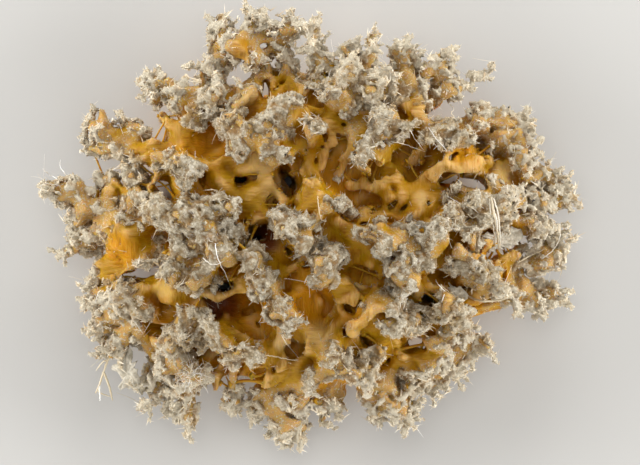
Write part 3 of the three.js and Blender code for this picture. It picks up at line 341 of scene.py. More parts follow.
class Field:
    """Distances to the sponge's surface on a grid, negative inside, and those to the crusty heads."""

    def __init__(self, cell):
        self.cell = cell
        self.count = np.ceil((HIGH - LOW) / cell).astype(int) + 1
        axes = [LOW[i] + cell * np.arange(self.count[i]) for i in range(3)]
        self.x0, self.y0, self.z0 = [axis.astype(np.float32) for axis in np.meshgrid(*axes, indexing="ij")]
        self.x = self.x0 + wave(WAVES_X, self.x0, self.y0) + CROOK * noise(self, CROOK_SIZE, 1)
        self.y = self.y0 + wave(WAVES_Y, self.x0, self.y0) + CROOK * noise(self, CROOK_SIZE, 2)
        self.z = self.z0 + wave(WAVES_Z, self.x0, self.y0) + CROOK * noise(self, CROOK_SIZE, 3)
        self.value = self.mound()
        self.crust = np.full(self.value.shape, FAR_OFF, np.float32)

    def mound(self):
        height = np.where(self.z > RIM_Z, CROWN_Z - RIM_Z, ROOT_DEPTH).astype(np.float32)
        u = (self.x - MOUND_X) / MOUND_HALF_WIDTH
        v = self.y / MOUND_HALF_DEPTH
        w = (self.z - RIM_Z) / height
        reach = np.sqrt(u**2 + v**2 + w**2)
        slope = np.sqrt((u / MOUND_HALF_WIDTH) ** 2 + (v / MOUND_HALF_DEPTH) ** 2 + (w / height) ** 2)
        return (reach * (reach - 1) / np.maximum(slope, 1e-5)).astype(np.float32)

    def block(self, points, reach):
        """The part of the grid within reach of the box round some points."""
        low = np.min(points, axis=0) - reach
        high = np.max(points, axis=0) + reach
        start = np.clip(np.floor((low - LOW) / self.cell).astype(int), 0, self.count)
        stop = np.clip(np.ceil((high - LOW) / self.cell).astype(int) + 1, 0, self.count)
        return tuple(slice(a, b) for a, b in zip(start, stop))

    def cone(self, s, a, ra, b, rb, space=None):
        x, y, z = space or (self.x, self.y, self.z)
        along = np.subtract(b, a)
        length = max(float(along @ along), 1e-6)
        px, py, pz = x[s] - a[0], y[s] - a[1], z[s] - a[2]
        t = np.clip((px * along[0] + py * along[1] + pz * along[2]) / length, 0, 1)
        gap = np.sqrt((px - t * along[0]) ** 2 + (py - t * along[1]) ** 2 + (pz - t * along[2]) ** 2)
        return gap - (ra + t * (rb - ra))

    def join_cone(self, a, ra, b, rb, blend):
        s = self.block([a, b], max(ra, rb) + REACH)
        self.value[s] = smooth_min(self.value[s], self.cone(s, a, ra, b, rb), blend)

    def carve_cone(self, a, b, radius, blend):
        s = self.block([a, b], radius + REACH)
        self.value[s] = smooth_max(self.value[s], -self.cone(s, a, radius, b, radius), blend)

    def carve_slot(self, shape, floor, blend):
        """Cuts a slot with round ends, from above down to a round floor."""
        x1, y1, x2, y2, radius = shape
        s = self.block([(x1, y1, max(floor, LOW[2])), (x2, y2, HIGH[2])], radius + REACH)
        along = np.array([x2 - x1, y2 - y1], float)
        px, py = self.x[s] - x1, self.y[s] - y1
        t = np.clip((px * along[0] + py * along[1]) / max(float(along @ along), 1e-6), 0, 1)
        below = np.maximum(floor + radius - self.z[s], 0)
        gap = np.sqrt((px - t * along[0]) ** 2 + (py - t * along[1]) ** 2 + below**2)
        self.value[s] = smooth_max(self.value[s], radius - gap, blend)

    def join_straight(self, values, a, ra, b, rb, blend):
        """Joins a cone to some of the grid's values, with no waves in it."""
        s = self.block([a, b], max(ra, rb) + blend + 1)
        values[s] = smooth_min(values[s], self.cone(s, a, ra, b, rb, (self.x0, self.y0, self.z0)), blend)

    def encrust(self, a, ra, b, rb):
        s = self.block([a, b], max(ra, rb) + REACH)
        self.crust[s] = np.minimum(self.crust[s], self.cone(s, a, ra, b, rb))


def knob_cones():
    """The head, radius and foot of each knob."""
    for x, y, girth, lift in KNOBS:
        radius = girth - JOINT_SWELL
        z = mound_top(x, y) + lift + KNOB_STAND - KNOB_SUNK * radius
        yield (x, y, z), radius, (x * FOOT_LEAN, y * FOOT_LEAN, max(FOOT_LOWEST, z * FOOT_HEIGHT))


def limb_cones():
    """The root and tip of each limb, each with its radius."""
    for x1, y1, z1, r1, x2, y2, z2, r2 in LIMBS:
        yield (x1, y1, z1), max(r1 - JOINT_SWELL, THINNEST), (x2, y2, z2), max(r2 - JOINT_SWELL, THINNEST)


def grow(cell):
    """The whole body on a grid of this cell."""
    field = Field(cell)
    for x1, y1, x2, y2, radius, depth in CAVES:
        floor = mound_top((x1 + x2) / 2, (y1 + y2) / 2) - depth
        field.carve_slot((x1, y1, x2, y2, radius), floor, WELL_BLEND)
    for x1, y1, z1, x2, y2, z2, radius in FLANK_CAVES:
        field.carve_cone((x1, y1, z1), (x2, y2, z2), radius, WELL_BLEND)
    for head, radius, foot in knob_cones():
        field.join_cone(head, radius, foot, radius * FOOT_GIRTH, BODY_BLEND)
        field.encrust(head, radius, (head[0], head[1], head[2] - HEAD_DROP), radius)
    for root, root_radius, tip, tip_radius in limb_cones():
        field.join_cone(root, root_radius, tip, tip_radius, BODY_BLEND)
        middle = tuple((a + b) / 2 for a, b in zip(root, tip))
        field.encrust(middle, (root_radius + tip_radius) / 2, tip, tip_radius)
    for x1, y1, depth1, r1, x2, y2, depth2, r2 in BARS:
        a = (x1, y1, mound_top(x1, y1) - depth1 - r1)
        b = (x2, y2, mound_top(x2, y2) - depth2 - r2)
        field.join_cone(a, r1, b, r2, BAR_BLEND)
    for x, y, depth, ring, wire in MOUTHS:
        z = mound_top(x, y) - depth - wire
        turns = 2 * np.pi * np.arange(MOUTH_SIDES + 1) / MOUTH_SIDES
        corners = [(x + ring * np.cos(turn), y + ring * np.sin(turn), z) for turn in turns]
        for a, b in zip(corners, corners[1:]):
            field.join_cone(a, wire, b, wire, BAR_BLEND)
    crease(field)
    hang_sheets(field)
    for shape in HOLES + BAYS + NOTCHES:
        field.carve_slot(shape, NO_FLOOR, HOLE_BLEND)
    wrinkle(field)
    return field


def crease(field):
    rim = smooth_step(rim_share(field.x0, field.y0), CREASE_RIM_FROM, CREASE_RIM_TO)
    lines = smooth_step(-np.abs(noise(field, CREASE_SIZE, CREASE_SEED)), -CREASE_WIDE, 0)
    field.value = field.value + lines * (CREASE_DEEP + CREASE_RIM * rim)
    for head, radius, foot in knob_cones():
        field.join_cone(head, radius * CORE, foot, radius * CORE, CORE_BLEND)
    for root, root_radius, tip, tip_radius in limb_cones():
        field.join_cone(root, root_radius * CORE, tip, tip_radius * CORE, CORE_BLEND)


def hang_sheets(field):
    """Thin sheets across the caves, and the caves' floors."""
    height = noise(field, SHEET_SIZE, SHEET_SEED)
    slope = np.sqrt(sum(np.square(part) for part in np.gradient(height, field.cell)))
    sheet = np.abs(height) / np.maximum(slope, LEAST_SLOPE) - SHEET_HALF
    top = mound_top(field.x, field.y) - SHEET_BELOW
    sheet = np.maximum(sheet, field.z - top)
    sheet = np.maximum(sheet, SHEET_LOWEST - field.z0)
    rim = rim_share(field.x, field.y)
    sheet = np.maximum(sheet, (rim - SHEET_RIM) * MOUND_HALF_DEPTH)
    field.value = smooth_min(field.value, sheet, SHEET_BLEND)
    roll = CAVE_FLOOR_ROLL * noise(field, CAVE_FLOOR_SIZE, CAVE_FLOOR_SEED)
    bottom = mound_top(field.x, field.y) - CAVE_FLOOR + roll
    bottom = np.maximum(field.z - bottom, (rim - CAVE_FLOOR_RIM) * MOUND_HALF_DEPTH)
    field.value = smooth_min(field.value, bottom, CAVE_FLOOR_BLEND).astype(np.float32)


def wrinkle(field):
    size, seed, height = RIDGES
    ridges = RIDGE_MIDDLE - np.abs(noise(field, size, seed, UPRIGHT))
    fine_size, fine_seed, fine_height = RIPPLES
    folds = height * ridges + fine_height * noise(field, fine_size, fine_seed, UPRIGHT)
    field.value -= folds * smooth_step(field.z0, 1, 3)


# Noise, softening and sampling on a grid

def spline_rows(fine, coarse_step, offset):
    """Cubic B-spline weights that spread values on a coarse row over a fine one."""
    place = np.arange(fine) / coarse_step + offset
    first = np.floor(place).astype(int)
    t = place - first
    rows = np.zeros((fine, int(first.max()) + 4), np.float32)
    weights = [
        (1 - t) ** 3 / 6,
        (3 * t**3 - 6 * t**2 + 4) / 6,
        (-3 * t**3 + 3 * t**2 + 3 * t + 1) / 6,
        t**3 / 6,
    ]
    for k, weight in enumerate(weights):
        rows[np.arange(fine), first + k] = weight
    return rows


def noise(field, size, seed, stretch=(1, 1, 1)):
    """A smooth random volume with lumps of about this size in mm, the same on any grid."""
    rng = np.random.default_rng(seed)
    steps = size * np.array(stretch)
    lattice = rng.standard_normal(np.ceil((HIGH - LOW) / steps).astype(int) + SPARE, dtype=np.float32)
    for axis in range(3):
        rows = spline_rows(field.count[axis], steps[axis] / field.cell, rng.random())
        lattice = np.moveaxis(np.tensordot(rows, lattice[: rows.shape[1]], axes=(1, 0)), 0, 2)
    return lattice / lattice.std()


def soften(volume, radius):
    """Two box blurs along each axis, of a whole number of cells."""
    width = 2 * radius + 1
    for axis in range(volume.ndim):
        for _ in range(2):
            pad = [(0, 0)] * volume.ndim
            pad[axis] = (radius + 1, radius)
            total = np.cumsum(np.pad(volume, pad, mode="edge"), axis=axis, dtype=np.float32)
            high = np.take(total, range(width, total.shape[axis]), axis=axis)
            low = np.take(total, range(0, total.shape[axis] - width), axis=axis)
            volume = (high - low) / width
    return volume


def sample(volume, place):
    """Values between the grid's points, straight-line blended. place is in cells."""
    top = np.array(volume.shape) - 1.001
    p = np.clip(place, 0, top)
    i = p.astype(int)
    f = (p - i).astype(np.float32)
    value = 0
    for corner in range(8):
        step = [corner & 1, corner >> 1 & 1, corner >> 2]
        weight = np.prod([f[:, a] if step[a] else 1 - f[:, a] for a in range(3)], axis=0)
        value = value + weight * volume[i[:, 0] + step[0], i[:, 1] + step[1], i[:, 2] + step[2]]
    return value


# Meshes

def unit(vectors):
    return vectors / np.maximum(np.linalg.norm(vectors, axis=-1, keepdims=True), 1e-9)


def surface(value):
    """The surface where a field is zero, as points in cells and quads. The quads look into the body."""
    grid = openvdb.FloatGrid(background=BAND)
    grid.copyFromArray(np.clip(value, -BAND, BAND).astype(np.float32))
    points, quads = grid.convertToQuads(isovalue=0.0)
    return points, quads[:, ::-1]


def face_measures(place, quads):
    """The middle of each quad, the way it looks, and twice its area."""
    a, b, c, d = (place[quads[:, k]] for k in range(4))
    across = np.cross(c - a, d - b)
    return (a + b + c + d) / 4, unit(across), np.linalg.norm(across, axis=1)


def first_in_each_cell(indices, middles, gap, most):
    """The first of some places in each cube of this size, until there are enough."""
    chosen = {}
    for index in indices:
        chosen.setdefault(tuple(np.floor(middles[index] / gap).astype(int)), index)
        if len(chosen) == most:
            break
    return list(chosen.values())


def repeated(faces, points, count):
    """The faces of many copies of a small form that has this many points."""
    return (np.array(faces)[None] + points * np.arange(count)[:, None, None]).reshape(-1, 3)


def build_mesh(name, points, faces, attributes, material, smooth=True):
    """A piece from points in mm and faces with as many corners each. attributes are floats on its points."""
    mesh = bpy.data.meshes.new(name)
    count, corners = faces.shape
    mesh.vertices.add(len(points))
    mesh.vertices.foreach_set("co", (points * MM).astype(np.float32).ravel())
    mesh.loops.add(count * corners)
    mesh.loops.foreach_set("vertex_index", faces.ravel().astype(np.int32))
    mesh.polygons.add(count)
    mesh.polygons.foreach_set("loop_start", np.arange(0, count * corners, corners, dtype=np.int32))
    mesh.update(calc_edges=True)
    mesh.validate()
    for key, values in attributes.items():
        mesh.attributes.new(key, "FLOAT", "POINT").data.foreach_set("value", values.astype(np.float32))
    mesh.polygons.foreach_set("use_smooth", np.full(len(mesh.polygons), smooth))
    mesh.materials.append(material)
    piece = bpy.data.objects.new(name, mesh)
    bpy.context.scene.collection.objects.link(piece)
    return piece


def thin_hidden(piece, hidden, most):
    """Collapses faces where a piece is hidden, until it has about this many triangles."""
    piece.data.calc_loop_triangles()
    count = len(piece.data.loop_triangles)
    if count <= most:
        return
    group = piece.vertex_groups.new(name="hidden")
    group.add(np.flatnonzero(hidden).tolist(), 1.0, "REPLACE")
    thinning = piece.modifiers.new("thin", "DECIMATE")
    thinning.ratio = most / count
    thinning.vertex_group = "hidden"
    thinned = bpy.data.meshes.new_from_object(piece.evaluated_get(bpy.context.evaluated_depsgraph_get()))
    piece.modifiers.clear()
    piece.vertex_groups.clear()
    piece.data = thinned
    thinned.name = piece.name


def connected_parts(count, quads):
    """A number for each point that is the same all over one connected part of the mesh."""
    label = np.arange(count)
    ends = np.stack([quads, np.roll(quads, 1, axis=1)], axis=-1).reshape(-1, 2)
    while True:
        low = np.minimum(label[ends[:, 0]], label[ends[:, 1]])
        new = label.copy()
        np.minimum.at(new, ends[:, 0], low)
        np.minimum.at(new, ends[:, 1], low)
        new = new[new]
        if (new == label).all():
            return label
        label = new


def rooted(count, quads, root):
    """Which points belong to a part of the mesh that holds at least one root point."""
    label = connected_parts(count, quads)
    kept = np.zeros(count, bool)
    kept[label[root]] = True
    return kept[label]


def only(points, quads, kept):
    """The kept points, and the quads on them with their new numbers."""
    number = np.cumsum(kept) - 1
    return points[kept], number[quads[kept[quads[:, 0]]]]


def level_base(piece):
    """Lifts any point that thinning pushed below the flat base."""
    points = np.empty(3 * len(piece.data.vertices), np.float32)
    piece.data.vertices.foreach_get("co", points)
    points[2::3] = np.maximum(points[2::3], 0)
    piece.data.vertices.foreach_set("co", points)
    piece.data.update()


# Where the crust lies, and the shades

# The sizes of the near and far neighbourhoods, and those of the canopy of knobs
NEAR_SIZE = 1.1
FAR_SIZE = 2.6
CANOPY_REACH = 3.6
CANOPY_SOFT = 3.0
CANOPY_LOWEST = RIM_Z - 6

# How far the crust reaches past the heads, and how it follows crests and leaves deep places bare
CRUST_REACH = 0.55
CRUST_FAR = 2.0
CREST_PULL = 4.0
DEEP_BARE = 1.2
DEEP_FROM = 8
DEEP_TO = 14
CRUST_SOFT = 1.1
CRUST_LOW = 2.5
CRUST_HIGH = 7
SANDY_FAR = 2.0
SANDY_NEAR = 0.3
# The ragged edge of the crust: [height, size, seed] of each noise
RAGGED = [[0.5, 4.5, 21], [0.65, 1.9, 22], [0.35, 0.9, 23]]
# The crust's roughness: [height, size, seed] of each kind. Clumps are rounded, so their height is negative.
CLUMPS = [-0.14, 2.4, 31]
FLAKES = [0.46, 1.5, 32]
SPLINTERS = [0.44, 0.95, 33]
THREADS = [0.34, 0.66, 35]
PITS = [0.6, 0.9, 34]
PIT_FROM = 1.2
PIT_TO = 2.1
ROUGH_MIDDLE = 0.8
RIM_SMOOTHER = 0.6

# Places that carry more crust than their form says, or less: [x, y, radius, mm]
CRUST_SPOTS = [
    [-35, 4.4, 4, 2.9], [-29.5, 0.5, 3.8, 2.6], [-40, 4.5, 3.5, 2.2], [-44.4, -10, 3, 2.4],
    [-43.6, -1.6, 3.4, 3], [-41.5, 11, 3, 2.2], [-34.5, 11.5, 2.6, 2.2], [-37.5, -11.5, 2.5, 2],
    [-49, 5, 5, 1], [-46, -4, 3, 1], [-45, 3.5, 3, 1.4], [-26, 12, 4, 0.8], [-12, 20, 6, 0.9],
    [-6, 22, 4, 0.6], [-2, 36, 3.5, 1.6], [3, 33, 5, 1.6], [-4, -41, 5, 2.6], [-9, -38, 4, 2.2],
    [3, -38, 4, 2], [-13, -35, 2.5, 1.6], [19, -36, 6, 2], [35, -24, 5, 1.6], [42, 20, 6, 1.4],
    [47, 15, 4, 1.6], [50, -10, 5, 1.4], [50, 8, 4, 1.4], [-41, -18, 5, 1.4], [-25, -24, 6, 0.8],
    [21, -5, 6, 0.4], [-22, -4, 7, 0.5], [-33, -33, 5, 1.4], [14, 34, 7, 0.6], [26, 32, 6, 0.8],
    [36, 5, 6, 0.4], [-15, 27, 5, 0.6], [29, -30, 4, 1.4], [-37, -22, 3.5, 1.6], [48, 2, 3, 1.2],
]
BARE_SPOTS = [
    [-22, 16.5, 4.5, 2], [14, 8, 5, 2], [20, 10, 6, 2], [25, 7, 4, 2], [-36, -3, 3.4, 2.6],
    [-39, -7, 3, 2.4], [2.5, -16, 4, 2], [-10, 8, 5, 2], [13.6, -10, 4.5, 2], [6, 16, 5, 1.2],
    [-16, -16, 4, 1.5], [36, 14, 4, 2], [0, 20, 3, 1], [-30, -17, 4, 1.5], [11, -20, 4.5, 2],
    [26, -25, 4, 2], [-12, 37, 3, 1.6], [-41, 20, 4, 1.2], [-16, -7, 3.5, 1.4], [31, -4, 4, 1.6],
    [29, -12, 5, 1.6], [45, -2, 4.5, 1.4], [39, -3, 3.5, 1.2], [24, 24, 4, 1.6], [8, 24, 3.5, 1.2],
    [-4, 31, 3, 0.8], [-8, -31, 4, 1], [17, -26, 4, 1.2], [33, -13, 3, 1], [-37.6, 8.4, 2, 1.2],
    [-20, -27, 3.5, 0.8], [5, -32, 3, 0.6], [12, -31, 2.5, 1], [-11, 28, 3, 1], [0, 27, 4, 1],
    [-28, 22, 3, 1.5], [-28, -13, 3, 2], [-21, -13, 3.2, 2], [-15, -12, 2.5, 1.5], [-3.5, -23, 2.6, 1.8],
    [-9, -31, 4, 1.4], [-14, -30, 3, 1.2], [19, -28, 4, 1.4], [-7, 9, 4, 1.6], [4, 26, 3, 1],
    [-24, 18, 3, 1],
]
# Places where one shade stands out: [x, y, radius, strength]
# Painted glow: the amber is brighter at these places, where light shines through thin walls into the caves
GLOW_SPOTS = [
    [-37, -4.5, 5, 1], [1.5, -16, 6, 0.9], [-20, 15, 7, 0.4], [14, -10, 5, 0.5], [-12, 36, 5, 0.3],
    [46.8, -1, 4, 0.9], [-30, -18, 6, 0.8], [11, -18, 4, 0.7], [36, -2, 4, 0.7], [24, 9, 9, 0.3],
    [35, 15, 5, 0.8], [6, 17, 6, 0.5], [-22, 17, 4, 0.8], [13.6, -10, 4, 0.6],
]
# Painted shade: darker brown deep in the caves at these places
SHADE_SPOTS = [
    [-7, -2, 5, 1], [-16, -16, 6, 1], [25, 15, 4, 0.6], [7, 28, 3, 0.6], [10, -19, 3, 0.7],
    [-30, -17, 4, 0.4], [20, 6, 7, 0.25], [-38, 19, 4, 0.5], [-8, -10, 3, 0.5], [34, -11, 4, 0.5],
]
PALE_SPOTS = [
    [-8, 13, 4, 0.9], [-5, 8, 4, 0.7], [43, 11.4, 3.4, 0.8], [25.4, 6.4, 2.2, 0.8], [35, 11.6, 2.4, 0.5],
    [-20, -13.2, 3.4, 0.8], [-28, -13, 3, 0.6], [4, -22, 4, 0.6], [12, 14, 4, 0.4], [-11, 28, 3.4, 0.9],
    [-3.5, -24, 2.2, 0.9], [-18, -26, 2.4, 0.8], [37, -13, 3, 0.6],
]
GREY_SPOTS = [
    [-20, -3, 9, 0.7], [-2, -8, 7, 0.8], [22, -5, 8, 0.8], [0, 1, 5, 0.6], [38, -9, 7, 0.5],
    [-23, -22, 6, 0.5], [-4, 22, 6, 0.4], [-1, -30, 5, 0.3], [36, 2, 6, 0.5], [20, -18, 6, 0.5],
]


def field_measures(field):
    """Volumes that the colours are worked out from: how full the neighbourhood is, near and far, and how
    deep a place lies under the canopy of knobs."""
    filled = np.clip(0.5 - field.value / field.cell, 0, 1)
    near = soften(filled, max(1, round(NEAR_SIZE / field.cell)))
    far = soften(filled, round(FAR_SIZE / field.cell))
    canopy = np.where(field.value < 0, field.z0, CANOPY_LOWEST).max(axis=2)
    for _ in range(round(CANOPY_REACH / field.cell)):
        canopy = np.maximum.reduce([np.roll(canopy, shift, axis) for axis in (0, 1) for shift in (-1, 0, 1)])
    canopy = soften(canopy, round(CANOPY_SOFT / field.cell))
    depth = canopy[:, :, None] - field.z0
    return near, far, depth.astype(np.float32)


def crust_change(field):
    change = np.zeros(field.value.shape, np.float32)
    for places, sign in ((CRUST_SPOTS, 1), (BARE_SPOTS, -1)):
        for x, y, radius, amount in places:
            gap = np.hypot(field.x0[:, :, 0] - x, field.y0[:, :, 0] - y)
            change += (sign * amount * smooth_step(-gap, -1.25 * radius, -0.6 * radius))[:, :, None]
    return change


def crust_reach(field, near, depth):
    """How far into the crust a place lies, in mm. It covers the heads and the crests, with ragged edges."""
    ragged = sum(height * noise(field, size, seed) for height, size, seed in RAGGED)
    away = np.clip(field.crust - np.maximum(field.value, 0), -1, CRUST_FAR)
    crest = CREST_PULL * (0.5 - near) - DEEP_BARE * smooth_step(depth, DEEP_FROM, DEEP_TO)
    return CRUST_REACH - away + crest + ragged + crust_change(field)


def crust_amount(field, near, depth):
    """From 0, bare flesh, to 1, full crust."""
    amount = smooth_step(crust_reach(field, near, depth), 0, CRUST_SOFT)
    return amount * smooth_step(field.z0, CRUST_LOW, CRUST_HIGH)


def ridged(field, kind):
    height, size, seed = kind
    return height * (ROUGH_MIDDLE - np.abs(noise(field, size, seed)))


def crust_rough(field, rim):
    """How far the crust's surface stands out or in, in mm: rounded clumps, sharp flakes, splinters, threads
    and pits. The larger ones fade out on the rim, so that its fingers stay thin."""
    large = (ridged(field, CLUMPS) + ridged(field, FLAKES)) * (1 - RIM_SMOOTHER * rim)
    depth, size, seed = PITS
    pits = depth * smooth_step(noise(field, size, seed), PIT_FROM, PIT_TO)
    return large + ridged(field, SPLINTERS) + ridged(field, THREADS) - pits


def spots(points, places):
    """How far into any of some round spots each point is, from 0 to 1. A spot is [x, y, radius, strength]."""
    value = np.zeros(len(points), np.float32)
    for x, y, radius, strength in places:
        gap = np.hypot(points[:, 0] - x, points[:, 1] - y)
        value = np.maximum(value, strength * smooth_step(-gap, -radius, -0.35 * radius))
    return value


def greyness(place):
    """The crust is grey, 1, towards the middle of the clump, and near white, -1, on its rim, a white that is
    partly painted light.
    """
    rim = rim_share(place[:, 0], place[:, 1])
    grey = np.maximum(spots(place, GREY_SPOTS), 0.6 * smooth_step(-rim, -0.95, -0.55))
    return grey - smooth_step(rim, 0.8, 1.15)


SKIN_LOWEST = 4.0
SKIN_FULLEST = 0.62


class Skin:
    """Places on a surface that grains and points start from, and the way their faces look: inwards."""

    def __init__(self):
        self.rows = []

    def add(self, place, quads, near, amount):
        middles, inward, areas = face_measures(place, quads)
        first = quads[:, 0]
        outer = (near[first] < SKIN_FULLEST) & (middles[:, 2] > SKIN_LOWEST)
        self.rows.append([values[outer] for values in (middles, inward, areas, near[first], amount[first])])

    def close(self):
        self.middles, self.inward, self.areas, self.near, self.amount = map(np.concatenate, zip(*self.rows))

    def pick(self, rng, count, lowest, rest, weight):
        """Some places by chance. Where the inward way has a z of lowest or less, a place counts by rest."""
        share = self.areas * (np.where(self.inward[:, 2] > lowest, 1.0, rest) * weight)
        return rng.choice(len(share), count, replace=False, p=share / share.sum())


# Twigs, short crooked cones of crust: how many and how far apart, where they start, and their size
TWIG_GAP = 1.5
TWIG_COUNT = 2300
TWIG_CRUSTED = 0.5
TWIG_LOWEST = -0.35
TWIG_FULLEST = 0.47
TWIG_OUT = 0.8
TWIG_TURN = 0.45
TWIG_BEND = 0.5
TWIG_SUNK = 0.6
TWIG_LENGTH = (0.9, 2.3)
TWIG_ROOT = (0.34, 0.62)
TWIG_TAPER = 0.66
TWIG_TIP = 0.36
LONG_FROM = 0.78
LONG_SHARE = 0.12
LONGER = 1.7
STOUTER = 1.5
LONGEST_TWIG = 4.0
FORK_SHARE = 0.3
FORK_TURN = 0.9
FORK_LENGTH = 0.55
FORK_ROOT = 0.5
FORK_TIP = 0.28


def plan_twigs():
    """Crooked cones of crust: [start, radius, end, radius] for each. They head into the body, and on the rim
    outwards in plan too, and come out where a form is thin."""
    rng = np.random.default_rng(51)
    field = grow(COARSE_CELL)
    near, _, depth = field_measures(field)
    amount = crust_amount(field, near, depth)
    points, quads = surface(field.value)
    middles, inward, _ = face_measures(LOW + points * COARSE_CELL, quads)
    at = (middles - LOW) / COARSE_CELL
    fullness = sample(near, at)
    fit = (sample(amount, at) > TWIG_CRUSTED) & (inward[:, 2] > TWIG_LOWEST) & (fullness < TWIG_FULLEST)
    twigs = []
    for index in first_in_each_cell(rng.permutation(np.flatnonzero(fit)), middles, TWIG_GAP, TWIG_COUNT):
        start = middles[index]
        outward = np.array([start[0] - MOUND_X, start[1], 0])
        outward /= max(np.linalg.norm(outward), 1)
        rim = rim_share(start[0], start[1])
        heading = inward[index] + TWIG_OUT * rim * outward + rng.normal(0, TWIG_TURN, 3)
        heading /= np.linalg.norm(heading)
        length = rng.uniform(*TWIG_LENGTH) * (0.7 + 2.3 * max(0, rim - 0.55)) * (1.4 - fullness[index])
        root = rng.uniform(*TWIG_ROOT)
        if rim > LONG_FROM and rng.random() < LONG_SHARE:
            length = min(LONGER * length, LONGEST_TWIG)
            root *= STOUTER
        knee = start + heading * length * 0.6
        bent = heading + rng.normal(0, TWIG_BEND, 3)
        tip = knee + bent / np.linalg.norm(bent) * length * 0.6
        twigs.append((start - heading * TWIG_SUNK, root, knee, TWIG_TAPER * root))
        twigs.append((knee, TWIG_TAPER * root, tip, TWIG_TIP * root))
        if rng.random() < FORK_SHARE:
            side = heading + rng.normal(0, FORK_TURN, 3)
            fork = knee + side / np.linalg.norm(side) * length * FORK_LENGTH
            twigs.append((knee, FORK_ROOT * root, fork, FORK_TIP * root))
    return twigs


# The crust's shell: how far it stands out and roots in the flesh, in mm, and where the quarters' seams run
CRUST_THICK = 0.5
RIM_THINNER = 0.85
CRUST_ROOT = 0.7
ROOT_DEEP = -0.3
CRUST_LOWEST = 0.3
TWIG_BLEND = 0.5
SEAM_X = 2
SEAM_Y = 1
SEAM_SWAY = 2.5
SEAM_OVERLAP = 0.2
QUARTERS = [["northwest", -1, 1], ["northeast", 1, 1], ["southwest", -1, -1], ["southeast", 1, -1]]
QUARTER_MOST = 100000
FLESH_MOST = 180000
FLESH_LOWEST = 1.5
BURIED = 0.4  # a place this far inside the other skin, in mm, never shows


def make_crust(material, skin):
    """The crust in four quarters that overlap a little, each a closed shell rooted in the flesh."""
    twigs = plan_twigs()
    field = grow(CRUST_CELL)
    near, _, depth = field_measures(field)
    amount = crust_amount(field, near, depth)
    rim = smooth_step(rim_share(field.x0, field.y0), 0.8, 1.1)
    rough = crust_rough(field, rim)
    thick = -CRUST_ROOT + (CRUST_ROOT + CRUST_THICK - RIM_THINNER * rim) * amount
    outer = field.value - thick
    for a, ra, b, rb in twigs:
        field.join_straight(outer, a, ra, b, rb, TWIG_BLEND)
    outer = outer - rough * (0.25 + 0.75 * amount)
    shell = np.maximum(outer, -field.value - CRUST_ROOT)
    shell = np.maximum(shell, CRUST_LOWEST - field.z0)
    seam_x = field.x0 - SEAM_X + SEAM_SWAY * np.sin(field.y0 * 0.35)
    seam_y = field.y0 - SEAM_Y + SEAM_SWAY * np.sin(field.x0 * 0.31)
    pieces = []
    for name, side_x, side_y in QUARTERS:
        quarter = np.maximum(shell, np.maximum(-side_x * seam_x, -side_y * seam_y) - SEAM_OVERLAP)
        points, quads = surface(quarter)
        roots = sample(field.value, points) < ROOT_DEEP
        points, quads = only(points, quads, rooted(len(points), quads, roots))
        stand = sample(field.value, points)
        place = LOW + points * CRUST_CELL
        attributes = {
            "near": sample(near, points),
            "depth": sample(depth, points),
            "rough": sample(rough, points),
            "amount": sample(amount, points),
            "grey": greyness(place),
            "stand": stand,
        }
        piece = build_mesh("crust_" + name, place, quads, attributes, material)
        shown = quads[np.flatnonzero(stand[quads[:, 0]] > -0.2)]
        skin.add(place, shown, attributes["near"], attributes["amount"])
        thin_hidden(piece, stand < -BURIED, QUARTER_MOST)
        pieces.append(piece)
    skin.close()
    return pieces, field, shell


def make_flesh(material, crust_field, shell, skin):
    """The largest connected part of the body, thinned where the crust hides it."""
    field = grow(FLESH_CELL)
    near, far, depth = field_measures(field)
    sandy = smooth_step(crust_reach(field, near, depth), -SANDY_FAR, SANDY_NEAR)
    points, quads = surface(np.maximum(field.value, -field.z0))
    label = connected_parts(len(points), quads)
    points, quads = only(points, quads, label == np.bincount(label).argmax())
    place = LOW + points * FLESH_CELL
    place[:, 2] = np.maximum(place[:, 2], 0)
    attributes = {
        "near": sample(near, points),
        "depth": sample(depth, points),
        "sandy": sample(sandy, points),
        "ridge": sample(far - near, points),
        "bright": spots(place, GLOW_SPOTS),
        "dark": spots(place, SHADE_SPOTS),
        "pale": spots(place, PALE_SPOTS),
    }
    piece = build_mesh("flesh", place, quads, attributes, material)
    inside = sample(shell, (place - LOW) / crust_field.cell)
    skin.add(place, quads[inside[quads[:, 0]] > 0], attributes["near"], attributes["sandy"])
    skin.close()
    thin_hidden(piece, (inside < -BURIED) | (place[:, 2] < FLESH_LOWEST), FLESH_MOST)
    level_base(piece)
    return piece


# Grains and frayed points

GRAIN_CORNERS = np.array([[1, 1, 1], [-1, -1, 1], [-1, 1, -1], [1, -1, -1]], float) * 0.75
GRAIN_FACES = [[0, 2, 1], [0, 1, 3], [0, 3, 2], [1, 2, 3]]
GRAIN_COUNT = 8500
GRAIN_SIZE = (0.13, 0.3)
LARGE_SHARE = 0.06
LARGER = 1.7
TUFT_COUNT = 2400
TUFT_FRAYS = 4
FRAY_COUNT = TUFT_COUNT * TUFT_FRAYS
WISP_COUNT = 22000
FUZZ_COUNT = 7000
# A wisp's point and its foot of three, and a fray's foot and knee of three and its point
WISP_FACES = [[0, 1, 2], [0, 2, 3], [0, 3, 1], [1, 3, 2]]
FRAY_FACES = [[0, 2, 1]]
for k, n in ((0, 1), (1, 2), (2, 0)):
    FRAY_FACES += [[k, n, 3 + n], [k, 3 + n, 3 + k], [3 + k, 3 + n, 6]]


